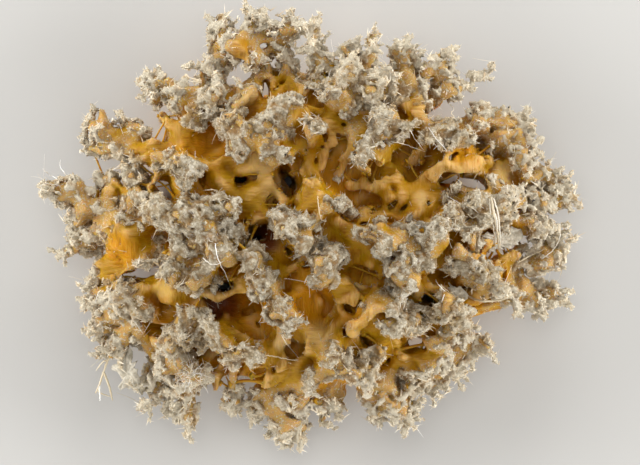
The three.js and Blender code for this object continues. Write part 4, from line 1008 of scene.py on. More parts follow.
def turned(rng, count):
    """Random turns, as rows of three axes."""
    q = rng.normal(size=(count, 4))
    q /= np.linalg.norm(q, axis=1, keepdims=True)
    w, x, y, z = q.T
    rows = [
        [1 - 2 * (y * y + z * z), 2 * (x * y - z * w), 2 * (x * z + y * w)],
        [2 * (x * y + z * w), 1 - 2 * (x * x + z * z), 2 * (y * z - x * w)],
        [2 * (x * z - y * w), 2 * (y * z + x * w), 1 - 2 * (x * x + y * y)],
    ]
    return np.array(rows).transpose(2, 0, 1)


def stem(rng, heading):
    """Two directions across each heading, at a random turn."""
    side = unit(np.cross(heading, rng.normal(size=heading.shape)))
    return side, np.cross(heading, side)


def ring(middle, stem_sides, width):
    """Three points round each middle."""
    side, other = stem_sides
    turns = (0, 2 * np.pi / 3, 4 * np.pi / 3)
    return [middle + (side * np.cos(turn) + other * np.sin(turn)) * width[:, None] for turn in turns]


def scatter(name, place, faces, rng, count, material, tips=None):
    """A piece of many small forms, with one random tone for each."""
    each = len(place) // count
    attributes = {"tone": np.repeat(rng.random(count), each), "grey": greyness(place)}
    if tips:
        attributes["tip"] = np.tile(np.array(tips, float), count)
    return build_mesh(name, place, repeated(faces, each, count), attributes, material, smooth=False)


def make_grains(name, skin, seed, material):
    rng = np.random.default_rng(seed)
    chosen = skin.pick(rng, GRAIN_COUNT, -0.2, 0.15, 0.3 + skin.amount)
    size = rng.uniform(*GRAIN_SIZE, GRAIN_COUNT)
    size = size * np.where(rng.random(GRAIN_COUNT) < LARGE_SHARE, LARGER, 1.0)
    corners = GRAIN_CORNERS[None] * rng.uniform(0.6, 1.25, (GRAIN_COUNT, 4, 1)) * [1.25, 0.95, 0.7]
    corners = np.einsum("nij,nkj->nki", turned(rng, GRAIN_COUNT), corners) * size[:, None, None]
    centres = skin.middles[chosen] + skin.inward[chosen] * (0.25 * size)[:, None]
    centres += rng.uniform(-0.15, 0.15, (GRAIN_COUNT, 3))
    place = (corners + centres[:, None]).reshape(-1, 3)
    return scatter(name, place, GRAIN_FACES, rng, GRAIN_COUNT, material)


def make_wisps(name, skin, seed, count, lean, widest, material):
    """Fine straight points all over a skin, leaning every way, thickest on its edges."""
    rng = np.random.default_rng(seed)
    chosen = skin.pick(rng, count, -0.3, 0.15, np.clip(0.75 - skin.near, 0.05, 1))
    foot = skin.middles[chosen] + rng.normal(0, 0.12, (count, 3))
    heading = unit(skin.inward[chosen] + rng.normal(0, lean, (count, 3)))
    length = rng.gamma(3.0, 0.26, count) + 0.4
    width = rng.uniform(0.5, 1.0, count) * widest
    corners = [foot + heading * length[:, None]] + ring(foot - heading * 0.15, stem(rng, heading), width)
    place = np.stack(corners, axis=1).reshape(-1, 3)
    return scatter(name, place, WISP_FACES, rng, count, material, [1, 0, 0, 0])


def make_frays(skin, material):
    """Bent three-sided points in small tufts."""
    rng = np.random.default_rng(62)
    weight = np.clip(0.62 - skin.near, 0.02, 1) ** 2
    chosen = np.repeat(skin.pick(rng, TUFT_COUNT, -0.3, 0.2, weight), TUFT_FRAYS)
    foot = skin.middles[chosen] + rng.normal(0, 0.15, (FRAY_COUNT, 3))
    heading = unit(skin.inward[chosen] + rng.normal(0, 0.5, (FRAY_COUNT, 3)))
    length = np.repeat(rng.gamma(3.0, 0.28, TUFT_COUNT) + 0.4, TUFT_FRAYS)
    length = length * rng.uniform(0.6, 1.2, FRAY_COUNT)
    width = rng.uniform(0.1, 0.24, FRAY_COUNT)
    sides = stem(rng, heading)
    bend = rng.normal(0, 0.35, (FRAY_COUNT, 3))
    knee = foot + heading * (0.5 * length)[:, None]
    tip = knee + (heading + bend) * (0.5 * length)[:, None]
    rings = ring(foot - heading * 0.2, sides, width) + ring(knee, sides, width * 0.65)
    place = np.stack(rings + [tip], axis=1).reshape(-1, 3)
    return scatter("frays", place, FRAY_FACES, rng, FRAY_COUNT, material, [0, 0, 0, 0.5, 0.5, 0.5, 1])


# Tubes: strands, fibres and hairs

def tubes(routes, radii, sides):
    """Closed tubes along many routes at once, as points and triangles. routes is [tube, step, xyz]."""
    count, steps = radii.shape
    along = unit(np.gradient(routes, axis=1))
    aside = np.where(np.abs(unit(routes[:, -1] - routes[:, 0])[:, 2:]) > 0.7, [[1.0, 0, 0]], [[0, 0, 1.0]])
    side = unit(np.cross(along, aside[:, None]))
    other = np.cross(along, side)
    turn = 2 * np.pi * np.arange(sides) / sides
    out = side[:, :, None] * np.cos(turn)[:, None] + other[:, :, None] * np.sin(turn)[:, None]
    points = (routes[:, :, None] + radii[:, :, None, None] * out).reshape(-1, 3)
    faces = []
    for k in range(sides):
        n = (k + 1) % sides
        for step in range(steps - 1):
            low, high = step * sides, (step + 1) * sides
            faces += [[low + k, high + k, high + n], [low + k, high + n, low + n]]
    last = (steps - 1) * sides
    for k in range(1, sides - 1):
        faces += [[0, k, k + 1], [last, last + k + 1, last + k]]
    return points, repeated(faces, sides * steps, count)


def tube_piece(name, routes, radii, sides, material, tones):
    points, faces = tubes(routes, radii, sides)
    attributes = {"tone": np.repeat(tones, len(points) // len(routes)), "grey": np.zeros(len(points))}
    return build_mesh(name, points, faces, attributes, material)


class Ground:
    """The height of the clump's top over any place, in millimetres."""

    def __init__(self, field, shell):
        filled = (np.minimum(shell, field.value) < 0) & (field.z0 > 0)
        self.cell = field.cell
        self.top = np.where(filled, field.z0, -1).max(axis=2)

    def height(self, x, y):
        """The highest point in a small neighbourhood, or below 0 where there is none."""
        best = np.full(np.shape(x), -1.0)
        for dx in (-1, 0, 1):
            for dy in (-1, 0, 1):
                i = np.clip(np.round((x - LOW[0]) / self.cell).astype(int) + dx, 0, self.top.shape[0] - 1)
                j = np.clip(np.round((y - LOW[1]) / self.cell).astype(int) + dy, 0, self.top.shape[1] - 1)
                best = np.maximum(best, self.top[i, j])
        return best


def smooth_route(corners, steps):
    """A smooth curve through some corners."""
    corners = np.array(corners, float)
    padded = np.concatenate([[2 * corners[0] - corners[1]], corners, [2 * corners[-1] - corners[-2]]])
    at = np.linspace(0, len(corners) - 1.0001, steps)
    i = at.astype(int)
    t = (at - i)[:, None]
    a, b, c, d = (padded[i + k] for k in range(4))
    return 0.5 * (2 * b + (c - a) * t + (2 * a - 5 * b + 4 * c - d) * t**2 + (3 * b - a - 3 * c + d) * t**3)


# Fibres that show one by one: the girth, then [x, y, lift above the clump] for each corner
FIBRES = [
    [
        0.25, [35.2, -14.1, 0.4], [37.4, -14.9, 0.5], [39.6, -15.1, 0.7], [42.2, -14.7, 0.5],
        [44.6, -13.5, 0.1],
    ],
    [0.11, [28.6, -10.6, 0.3], [29, -11.6, 0.6], [30.4, -13, 0.2]],
    [0.09, [30.2, -13.6, 0.1], [29.9, -14.3, 0.5], [29.6, -15.2, 0.1]],
    [0.10, [51, -6.4, 0.1], [53.6, -4.4, 0.5], [54.6, -1.6, 0.6], [55, 1, 0.9]],
    [0.13, [46, -7.2, 0.1], [49, -5.6, 0.4], [52, -4.2, 0.2]],
    [0.09, [31.4, 26.4, 0.1], [32.5, 25.2, 0.7], [31.9, 23.9, 0.8], [33.4, 22, 0.3]],
    [0.09, [23, 20.4, 0.1], [24.2, 18.6, 0.9], [26, 16.4, 0.2]],
    [0.08, [19, 18, 0.1], [22.4, 17.4, 0.9], [26.4, 16, 0.1]],
    [0.08, [27, 21, 0.1], [28.6, 18.6, 0.8], [31, 16, 0.1]],
    [0.08, [35, 3, 0.1], [36.2, 2.2, 0.7], [37.6, 3.2, 0.1]],
    [0.10, [-17, -3, 0.1], [-16.4, -6, 0.8], [-14.4, -11, 0.2]],
    [0.10, [-19.6, -6, 0.1], [-17.6, -7.4, 0.7], [-15.4, -6.8, 0.2]],
    [0.11, [-3.4, -22, 0.1], [-2, -24.6, 0.8], [0, -27, 0.2]],
    [0.12, [-7, -26.2, 0.2], [-3.4, -26.9, 0.6], [0, -27.6, 0.2]],
    [0.10, [4, 6.6, 0.1], [4.3, 4, 0.7], [4.8, 1.6, 0.2]],
    [0.08, [-50.6, 10.4, 0.1], [-52.4, 11.4, 0.5], [-53.6, 12.6, 0.4]],
    [0.08, [-50, 9, 0.1], [-52.6, 9.4, 0.6], [-54.4, 9, 0.3]],
    [0.08, [-49, 11.4, 0.1], [-50.2, 13, 0.5], [-50.8, 14.8, 0.4]],
]
# Fibres that hang free: the forked one off the rim, then a loose bundle over a hole. Girth and [x, y, z].
HANGING = [
    [0.34, [-37.2, -24.8, 13.4], [-40, -27.2, 12], [-41.2, -30.4, 11]],
    [0.26, [-41.2, -30.2, 11], [-42, -32.6, 10.4], [-43, -34.8, 9.6]],
    [0.28, [-41.2, -30.3, 11], [-40.2, -33, 10.4], [-39.4, -36.4, 9]],
    [0.2, [-40.3, -27.6, 12], [-41.6, -28.4, 11.8], [-42.8, -30, 11.2]],
    [0.2, [-42.2, -33, 10.3], [-42.1, -34.6, 10], [-42.1, -36.4, 9.2]],
    [0.16, [-42.7, -34.2, 9.9], [-41.4, -35, 9.8], [-39.7, -35.6, 9.4]],
    [0.3, [40, 6.4, 28.2], [40.6, 2.6, 29.7], [41.4, -1, 25.6], [42, -4.6, 18.6]],
    [0.2, [40.5, 6.2, 28.2], [41.4, 2.8, 29.4], [41.9, -1, 25.2], [42.3, -4.4, 18.6]],
    [0.18, [39.6, 6.2, 28.2], [40, 2.4, 29.5], [40.8, -1.2, 25.2], [41.2, -4.8, 18.6]],
    [0.15, [40.2, 5, 28.6], [41, 2, 29.6], [41.2, -0.6, 26.2], [40.2, -3, 20]],
]
FIBRE_STEPS = 22
FOUND_HEIGHT = 3
DROOP = 0.03
HAIR_COUNT = 520
HAIR_STEPS = 6
HAIR_LOWEST = 0.2
TUFT_PLACE = (-22.6, -30.6)
TUFT_SPREAD = 1.1
TUFT_HAIRS = 170


def fibre_route(corners, ground):
    """A fibre laid on the clump, and drooping where nothing lies under it."""
    route = smooth_route(corners, FIBRE_STEPS)
    height = ground.height(route[:, 0], route[:, 1])
    found = height > FOUND_HEIGHT
    steps = np.arange(FIBRE_STEPS)
    away = np.zeros(FIBRE_STEPS)
    if found.any():
        height = np.interp(steps, steps[found], height[found])
        away = np.min(np.abs(steps[:, None] - steps[found][None]), axis=1)
    for _ in range(3):
        mean = np.convolve(np.pad(height, 2, mode="edge"), np.full(5, 0.2), mode="valid")
        height = np.maximum(height, mean)
    for _ in range(4):
        height = np.convolve(np.pad(height, 1, mode="edge"), [0.25, 0.5, 0.25], mode="valid")
    route[:, 2] += height - DROOP * away**2
    return route


def make_fibres(skin, ground, material):
    """Pale fibres: those that show one by one, those that hang, a fuzzy tuft, and short hairs all over."""
    rng = np.random.default_rng(81)
    routes = [fibre_route(line[1:], ground) for line in FIBRES]
    routes += [smooth_route(line[1:], FIBRE_STEPS) for line in HANGING]
    girths = np.array([line[0] for line in FIBRES + HANGING])
    taper = np.interp(np.linspace(0, 1, FIBRE_STEPS), [0, 0.1, 0.8, 1], [0.8, 1, 0.8, 0.4])
    routes = np.array(routes) + rng.normal(0, 0.04, (len(routes), FIBRE_STEPS, 3))
    strings = tube_piece("fibres", routes, girths[:, None] * taper, 5, material, rng.random(len(routes)))

    rim = rim_share(skin.middles[:, 0], skin.middles[:, 1])
    chosen = skin.pick(rng, HAIR_COUNT, -0.4, 0.2, np.clip(0.6 - skin.near, 0.02, 1) ** 2 * (0.3 + rim**2))
    heading = unit(skin.inward[chosen] + rng.normal(0, 0.6, (HAIR_COUNT, 3)))
    length = rng.gamma(4.0, 0.5, HAIR_COUNT) + 0.5
    tuft_x = TUFT_PLACE[0] + rng.normal(0, TUFT_SPREAD, TUFT_HAIRS)
    tuft_y = TUFT_PLACE[1] + rng.normal(0, TUFT_SPREAD, TUFT_HAIRS)
    tuft_z = ground.height(tuft_x, tuft_y)
    tuft_z = np.where(tuft_z > FOUND_HEIGHT, tuft_z, np.median(tuft_z))
    tuft_heading = [tuft_x - TUFT_PLACE[0], tuft_y - TUFT_PLACE[1], np.full(TUFT_HAIRS, 0.8)]
    tuft_heading = np.stack(tuft_heading, axis=1)
    foot = np.concatenate([skin.middles[chosen], np.stack([tuft_x, tuft_y, tuft_z - 0.2], axis=1)])
    heading = np.concatenate([heading, unit(tuft_heading + rng.normal(0, 0.9, (TUFT_HAIRS, 3)))])
    length = np.concatenate([length, rng.uniform(0.9, 1.9, TUFT_HAIRS)])
    count = HAIR_COUNT + TUFT_HAIRS
    curl = rng.normal(0, 0.35, (count, 3))
    s = np.linspace(0, 1, HAIR_STEPS)[:, None]
    span = length[:, None, None]
    hairs = foot[:, None] + span * (heading[:, None] * (s - 0.08) + curl[:, None] * s**2)
    hairs[:, :, 2] = np.maximum(hairs[:, :, 2], HAIR_LOWEST)
    girth = rng.uniform(0.05, 0.085, count)[:, None] * np.linspace(1, 0.45, HAIR_STEPS)
    return [strings, tube_piece("hairs", hairs, girth, 3, material, rng.random(count))]


# Strands: how many, where they may start, how far they may reach, and how far apart they are
STRAND_TRIES = 12000
STRAND_COUNT = 130
STRAND_STEPS = 9
STRAND_SIDES = 6
STRAND_GAP = 1.8
STRAND_START = 1.2
STRAND_END = 7.5
STRAND_STEP = 0.3
STRAND_SHORTEST = 2.2
STRAND_SUNK = 0.45


def make_strands(material):
    """Thin strands of flesh that start on steep thin walls, go through them and cross to the next wall."""
    rng = np.random.default_rng(91)
    field = grow(COARSE_CELL)
    _, _, depth = field_measures(field)
    points, quads = surface(field.value)
    middles, inward, _ = face_measures(LOW + points * COARSE_CELL, quads)
    under = sample(depth, (middles - LOW) / COARSE_CELL)
    fit = (np.abs(inward[:, 2]) < 0.6) & (under > 2.5) & (under < 11) & (middles[:, 2] > 6)
    chosen = rng.choice(np.flatnonzero(fit), STRAND_TRIES)
    start = middles[chosen]
    heading = unit(inward[chosen] + rng.normal(0, 0.3, (STRAND_TRIES, 3)))
    reach = np.zeros(STRAND_TRIES)
    for far in np.arange(STRAND_START, STRAND_END, STRAND_STEP):
        value = sample(field.value, (start + heading * far - LOW) / COARSE_CELL)
        reach = np.where((reach == 0) & (value < -0.1), far, reach)
    low = start[:, 2] + heading[:, 2] * reach
    found = np.flatnonzero((reach > STRAND_SHORTEST) & (low > 3))
    halfway = start + heading * reach[:, None] / 2
    kept = np.array(first_in_each_cell(found, halfway, STRAND_GAP, STRAND_COUNT))
    s = np.linspace(0, 1, STRAND_STEPS)[:, None]
    span = (reach[kept] + 2 * STRAND_SUNK)[:, None, None]
    sag = (rng.normal(0, 0.06, (len(kept), 3)) - [0, 0, 0.1])[:, None]
    straight = start[kept][:, None] + heading[kept][:, None] * (s * span - STRAND_SUNK)
    routes = straight + sag * span * 4 * s * (1 - s)
    flare = 1 + 1.6 * np.abs(2 * s[:, 0] - 1) ** 4
    radii = rng.uniform(0.12, 0.34, len(kept))[:, None] * flare
    points, faces = tubes(routes, radii, STRAND_SIDES)
    attributes = {name: np.zeros(len(points)) for name in ("bright", "dark", "pale")}
    attributes["near"] = np.full(len(points), 0.4)
    attributes["ridge"] = np.full(len(points), 0.05)
    attributes["depth"] = sample(depth, (points - LOW) / COARSE_CELL)
    attributes["sandy"] = np.repeat(rng.random(len(kept)) ** 2 * 0.7, STRAND_STEPS * STRAND_SIDES)
    return build_mesh("strands", points, faces, attributes, material)


# Films of dry skin: the corners of each outline, [x, y, z]
FILMS = [
    [
        [31, -11.4, 24.4], [33.2, -12, 24.6], [35.4, -13.6, 24], [34.8, -15, 25], [33.6, -16, 25],
        [32, -14.4, 24.6],
    ],
    [
        [-35.4, -25.4, 15], [-38.2, -27, 13], [-39.4, -29.8, 12], [-37.6, -31.4, 12], [-37.8, -34, 11.2],
        [-35.4, -33.8, 12.4], [-33.6, -35, 12.6], [-33.4, -31.8, 15], [-34.2, -28.4, 15.8],
    ],
    [
        [37.4, -3.4, 19], [38.4, -1.2, 20], [42, -0.4, 18.4], [46.4, 0.2, 16.4], [46.2, -3, 14.6],
        [42.6, -4.4, 15], [39, -5.2, 17],
    ],
]
FILM_SIDES = 40
FILM_RINGS = 6
FILM_HALF = 0.07
FILM_WAVE = 0.6


def film_faces():
    """One side of a film: rings of points from its edge in, and then its middle point."""
    faces = []
    for r in range(FILM_RINGS):
        for k in range(FILM_SIDES):
            a, b = r * FILM_SIDES + k, r * FILM_SIDES + (k + 1) % FILM_SIDES
            if r == FILM_RINGS - 1:
                faces.append([a, b, FILM_RINGS * FILM_SIDES])
            else:
                faces += [[a, b, b + FILM_SIDES], [a, b + FILM_SIDES, a + FILM_SIDES]]
    return np.array(faces)


def make_films(material):
    """Thin waved sheets with torn edges, closed all round."""
    rng = np.random.default_rng(95)
    places = []
    for corners in FILMS:
        corners = np.array(corners, float)
        ring = smooth_route(np.concatenate([corners, corners[:1]]), FILM_SIDES + 1)[:-1]
        middle = corners.mean(axis=0)
        ring = middle + (ring - middle) * rng.uniform(0.76, 1.12, (FILM_SIDES, 1))
        up = unit(np.cross(corners[2] - corners[0], corners[-2] - corners[0]))
        up = up * np.sign(up[2])
        sheet = []
        for share in np.linspace(1, 0, FILM_RINGS + 1)[:-1]:
            turn = 3.1 * ring[:, :1] * share + 2 * ring[:, 1:2] + 3 * share
            sheet.append(middle + (ring - middle) * share + up * (FILM_WAVE * np.sin(turn) * share))
        sheet = np.concatenate(sheet + [middle[None]])
        places += [sheet + up * FILM_HALF, sheet - up * FILM_HALF]
    count = FILM_RINGS * FILM_SIDES + 1
    one_side = film_faces()
    edge = []
    for k in range(FILM_SIDES):
        n = (k + 1) % FILM_SIDES
        edge += [[k, count + k, count + n], [k, count + n, n]]
    faces = np.concatenate([one_side, one_side[:, ::-1] + count, edge])
    return build_mesh("films", np.concatenate(places), repeated(faces, 2 * count, len(FILMS)), {}, material)


# Materials

def rgb(red, green, blue):
    """A screen colour, 0 to 255, as the shader wants it."""
    shares = [v / 255 for v in (red, green, blue)]
    return [v / 12.92 if v <= 0.04045 else ((v + 0.055) / 1.055) ** 2.4 for v in shares] + [1]


# Flesh
AMBER = rgb(162, 118, 0)
GOLD = rgb(172, 130, 8)
BROWN = rgb(138, 74, 6)
# Painted glow of light shining through thin walls
GLOW_AMBER = rgb(196, 136, 0)
# Painted glow: brighter amber deep in the caves, where less light reaches
CAVE_GLOW_AMBER = rgb(224, 158, 10)
# Painted shade: darker amber where the neighbourhood is full, in hollows and thick flesh
SHADED_AMBER = rgb(152, 92, 0)
PALE_STREAK = rgb(208, 160, 62)
DARK_STREAK = rgb(128, 76, 0)
# Painted highlights: paler colour on fine ridges, folds and thin edges
RIDGE_HIGHLIGHT_GOLD = rgb(206, 152, 48)
RIDGE_HIGHLIGHT_CREAM = rgb(226, 194, 136)
EDGE_HIGHLIGHT_CREAM = rgb(212, 176, 118)
LIP_CREAM = rgb(216, 186, 128)
# Painted shade deep in the caves
CAVE_SHADE = rgb(100, 46, 8)
SANDY_AMBER = rgb(184, 146, 86)
SPECK = rgb(214, 204, 182)
# Crust
TAN_CRUST = rgb(198, 173, 130)
CREAM_CRUST = rgb(217, 203, 174)
GREY_CRUST = rgb(134, 122, 100)
# Paler sand on the rim, partly painted light
PALE_RIM_AND_HIGHLIGHT = rgb(244, 233, 208)
MAUVE_CRUST = rgb(158, 142, 148)
OCHRE_CRUST = rgb(176, 154, 98)
# Painted highlight on crust that stands far out of the flesh
STANDING_HIGHLIGHT = rgb(246, 235, 210)
SUNK_TAN = rgb(186, 140, 78)
# Tan stains, and painted shade in the hollows
STAIN_AND_HOLLOW_SHADE = rgb(180, 136, 76)
PALE_CRUMB = rgb(236, 231, 216)
BROWN_CRUMB = rgb(156, 126, 80)
# Painted shade in the gaps between crumbs
CRUMB_GAP_SHADE = rgb(132, 106, 64)
THIN_CRUST = rgb(184, 148, 92)
# Painted shade in the pits, and painted highlight on the raised flakes
PIT_SHADE = rgb(128, 92, 44)
FLAKE_HIGHLIGHT = rgb(242, 236, 220)
FINE_WHITE = rgb(244, 236, 218)
FINE_BROWN = rgb(112, 88, 56)
# Grains, frayed points, fibres and films
BROWN_GRAIN = rgb(120, 92, 56)
BLACK_GRAIN = rgb(48, 42, 36)
PALE_GRAIN = rgb(226, 220, 204)
TAN_FRAY = rgb(182, 146, 94)
FRAY_FOOT = rgb(160, 132, 90)
FRAY_TIP = rgb(246, 241, 228)
DULL_FIBRE = rgb(212, 198, 168)
WHITE_FIBRE = rgb(246, 244, 238)
FIBRE_STAIN = rgb(176, 146, 100)
GREY_FILM = rgb(168, 160, 142)
CREAM_FILM = rgb(214, 206, 188)
FLOOR_GREY = rgb(188, 187, 184)


class Nodes:
    """Short ways to add and join shader nodes."""

    def __init__(self, name):
        self.material = bpy.data.materials.new(name)
        self.material.use_nodes = True
        self.tree = self.material.node_tree
        self.tree.nodes.clear()
        output = self.tree.nodes.new("ShaderNodeOutputMaterial")
        self.shader = self.add("BsdfPrincipled")
        self.tree.links.new(self.shader.outputs[0], output.inputs[0])
        self.place = self.add("TexCoord").outputs["Object"]

    def add(self, kind, **inputs):
        """A node, with some of its sockets set or joined by name. A space in a name is written as _."""
        node = self.tree.nodes.new("ShaderNode" + kind)
        for socket, value in inputs.items():
            self.link(value, node.inputs[socket.replace("_", " ")])
        return node

    def link(self, value, socket):
        if isinstance(value, bpy.types.NodeSocket):
            self.tree.links.new(value, socket)
        else:
            socket.default_value = value

    def finish(self, colour, roughness, **others):
        """Sets the shader's sockets, and gives the material."""
        others.update(Base_Color=colour, Roughness=roughness)
        for socket, value in others.items():
            self.link(value, self.shader.inputs[socket.replace("_", " ")])
        return self.material

    def attribute(self, name):
        node = self.add("Attribute")
        node.attribute_name = name
        return node.outputs["Fac"]

    def math(self, operation, a, b=0.0):
        node = self.add("Math")
        node.operation = operation
        self.link(a, node.inputs[0])
        self.link(b, node.inputs[1])
        return node.outputs[0]

    def ramp(self, value, low, high, to_low=0.0, to_high=1.0):
        """A soft step from one value to another, while the driver goes from low to high."""
        node = self.add("MapRange", Value=value, From_Min=low, From_Max=high, To_Min=to_low, To_Max=to_high)
        node.interpolation_type = "SMOOTHSTEP"
        return node.outputs[0]

    def mix(self, share, a, b):
        node = self.add("Mix")
        node.data_type = "RGBA"
        for socket, value in ((0, share), (6, a), (7, b)):
            self.link(value, node.inputs[socket])
        return node.outputs[2]

    def lay(self, colour, layers):
        """Lays colours over a first one, each by its share."""
        for share, tint in layers:
            colour = self.mix(share, colour, tint)
        return colour

    def blend(self, share, a, b):
        """A number between two others."""
        node = self.add("Mix")
        for socket, value in ((0, share), (2, a), (3, b)):
            self.link(value, node.inputs[socket])
        return node.outputs[0]

    def scaled(self, x=1.0, y=1.0, z=1.0):
        return self.add("Mapping", Scale=(x, y, z), Vector=self.place).outputs[0]

    def noise(self, size, detail=3.0, place=None, roughness=0.55):
        """Noise with lumps of about this size in millimetres."""
        scale = 1 / (size * MM)
        where = place or self.place
        return self.add("TexNoise", Scale=scale, Detail=detail, Roughness=roughness, Vector=where).outputs[0]

    def crumbs(self, size):
        """Cells of about this size in millimetres: a random value for each, and how far its middle is."""
        node = self.add("TexVoronoi", Scale=1 / (size * MM), Vector=self.place)
        return self.add("SeparateColor", Color=node.outputs["Color"]).outputs[0], node.outputs["Distance"]

    def bump(self, height, distance):
        return self.add("Bump", Strength=1.0, Distance=distance * MM, Height=height).outputs[0]


def flesh_material():
    n = Nodes("amber flesh")
    near, depth, sandy, ridge = [n.attribute(name) for name in ("near", "depth", "sandy", "ridge")]
    browns = n.noise(3.6, 4, roughness=0.65)
    turns = n.ramp(n.noise(9.0, 1), 0.45, 0.55)
    streaks = n.blend(turns, n.noise(0.7, 5, n.scaled(1, 0.2, 0.4)), n.noise(0.7, 5, n.scaled(0.2, 1, 0.4)))
    grit = n.noise(0.5, 3, roughness=0.7)
    specks = n.math("MULTIPLY", n.ramp(sandy, 0.5, 0.95), n.ramp(grit, 0.52, 0.66))
    colour = n.lay(AMBER, [
        (n.ramp(n.noise(5.0, 3), 0.35, 0.65), GOLD),
        (n.ramp(browns, 0.55, 0.72, 0, 0.55), BROWN),
        # Painted glow at the glow spots
        (n.attribute("bright"), GLOW_AMBER),
        # Painted glow deep in the caves
        (n.ramp(depth, 5, 13, 0, 0.9), CAVE_GLOW_AMBER),
        # Painted shade in hollows and thick flesh
        (n.ramp(near, 0.54, 0.72, 0, 0.75), SHADED_AMBER),
        (n.ramp(streaks, 0.52, 0.74, 0, 0.4), PALE_STREAK),
        (n.ramp(streaks, 0.46, 0.3, 0, 0.55), DARK_STREAK),
        # Painted highlights on folds, ridges and thin edges
        (n.ramp(ridge, 0.02, 0.12, 0, 0.35), RIDGE_HIGHLIGHT_GOLD),
        (n.ramp(ridge, 0.1, 0.19, 0, 0.45), RIDGE_HIGHLIGHT_CREAM),
        (n.math("MULTIPLY", n.ramp(near, 0.42, 0.3), n.ramp(streaks, 0.35, 0.6, 0.15, 0.6)), EDGE_HIGHLIGHT_CREAM),
        (n.math("MULTIPLY", n.attribute("pale"), 0.6), LIP_CREAM),
        # Painted shade deep in the caves at the shade spots
        (n.math("MULTIPLY", n.attribute("dark"), n.ramp(depth, 2, 6)), CAVE_SHADE),
        (n.ramp(sandy, 0.5, 1.0, 0, 0.75), SANDY_AMBER),
        (specks, SPECK),
    ])
    height = n.math("ADD", streaks, n.math("MULTIPLY", specks, 0.5))
    return n.finish(
        colour, 0.45, Specular_IOR_Level=0.25, Subsurface_Weight=0.6, Subsurface_Radius=(1.0, 0.6, 0.1),
        Subsurface_Scale=1.8 * MM, Normal=n.bump(height, 0.5),
    )


def crust_colour(n):
    """The sand's colour, greyer towards the middle of the clump and paler on its rim, where the paleness is
    partly painted light.
    """
    grey, tints = n.attribute("grey"), n.noise(2.2, 2)
    return n.lay(TAN_CRUST, [
        (n.ramp(n.noise(4.0, 3), 0.35, 0.65), CREAM_CRUST),
        (n.ramp(grey, 0.15, 0.9, 0, 0.9), GREY_CRUST),
        # Near white on the rim: partly pale sand, partly painted light
        (n.ramp(grey, 0.0, -0.9, 0, 0.75), PALE_RIM_AND_HIGHLIGHT),
        (n.ramp(tints, 0.6, 0.72, 0, 0.35), MAUVE_CRUST),
        (n.ramp(tints, 0.4, 0.28, 0, 0.4), OCHRE_CRUST),
    ])


def crust_material():
    n = Nodes("sandy crust")
    rough, stand = n.attribute("rough"), n.attribute("stand")
    fine = n.noise(0.42, 5, roughness=0.75)
    crumb, gap = n.crumbs(0.6)
    # Noise plus the fullness of the neighbourhood: stains with painted shade in the hollows
    stain_and_shade = n.math("ADD", n.noise(3.0, 3), n.math("MULTIPLY", n.attribute("near"), 0.5))
    speckled = n.ramp(n.attribute("grey"), -0.7, 0.2, 0.35, 1.0)
    colour = n.lay(crust_colour(n), [
        # Painted highlight where the crust stands far out
        (n.ramp(stand, 0.15, 1.1, 0, 0.8), STANDING_HIGHLIGHT),
        (n.ramp(stand, 0.15, -0.3, 0, 0.8), SUNK_TAN),
        (n.ramp(stain_and_shade, 0.62, 0.8, 0, 0.8), STAIN_AND_HOLLOW_SHADE),
        (n.math("MULTIPLY", speckled, n.ramp(crumb, 0.7, 0.95, 0, 0.35)), PALE_CRUMB),
        (n.math("MULTIPLY", speckled, n.ramp(crumb, 0.3, 0.05, 0, 0.35)), BROWN_CRUMB),
        # Painted shade between the crumbs
        (n.math("MULTIPLY", speckled, n.ramp(gap, 0.38, 0.62, 0, 0.4)), CRUMB_GAP_SHADE),
        (n.ramp(n.attribute("amount"), 0.85, 0.2, 0, 0.8), THIN_CRUST),
        # Painted shade in the pits, painted highlight on the raised flakes
        (n.ramp(rough, 0.05, -0.7, 0, 0.9), PIT_SHADE),
        (n.ramp(rough, 0.35, 0.9, 0, 0.55), FLAKE_HIGHLIGHT),
        (n.ramp(fine, 0.55, 0.72, 0, 0.4), FINE_WHITE),
        (n.math("MULTIPLY", speckled, n.ramp(fine, 0.43, 0.3, 0, 0.55)), FINE_BROWN),
    ])
    height = n.math("SUBTRACT", fine, n.math("MULTIPLY", gap, 0.4))
    return n.finish(colour, 0.9, Specular_IOR_Level=0.2, Normal=n.bump(height, 0.9))


def grain_material():
    n = Nodes("loose grains")
    tone = n.attribute("tone")
    colour = n.lay(crust_colour(n), [
        (n.ramp(tone, 0.3, 0.1, 0, 0.8), BROWN_GRAIN),
        (n.ramp(tone, 0.06, 0.03), BLACK_GRAIN),
        (n.ramp(tone, 0.7, 0.95, 0, 0.7), PALE_GRAIN),
    ])
    return n.finish(colour, 0.85)


def fray_material():
    n = Nodes("frayed points")
    tone, tip = n.attribute("tone"), n.attribute("tip")
    colour = n.lay(crust_colour(n), [
        (n.ramp(tone, 0.4, 0.05, 0, 0.6), TAN_FRAY),
        (n.ramp(tip, 0.1, 0.0, 0, 0.3), FRAY_FOOT),
        (n.math("MULTIPLY", n.ramp(tip, 0.2, 0.9), n.ramp(tone, 0.2, 0.7, 0.2, 0.9)), FRAY_TIP),
    ])
    return n.finish(colour, 0.8, Specular_IOR_Level=0.25)


def fibre_material():
    n = Nodes("pale fibre")
    colour = n.lay(DULL_FIBRE, [
        (n.ramp(n.attribute("tone"), 0.2, 0.9), WHITE_FIBRE),
        (n.ramp(n.noise(1.2, 2), 0.55, 0.75, 0, 0.5), FIBRE_STAIN),
    ])
    return n.finish(
        colour, 0.5, Subsurface_Weight=0.3, Subsurface_Radius=(1.0, 0.9, 0.7), Subsurface_Scale=0.3 * MM
    )


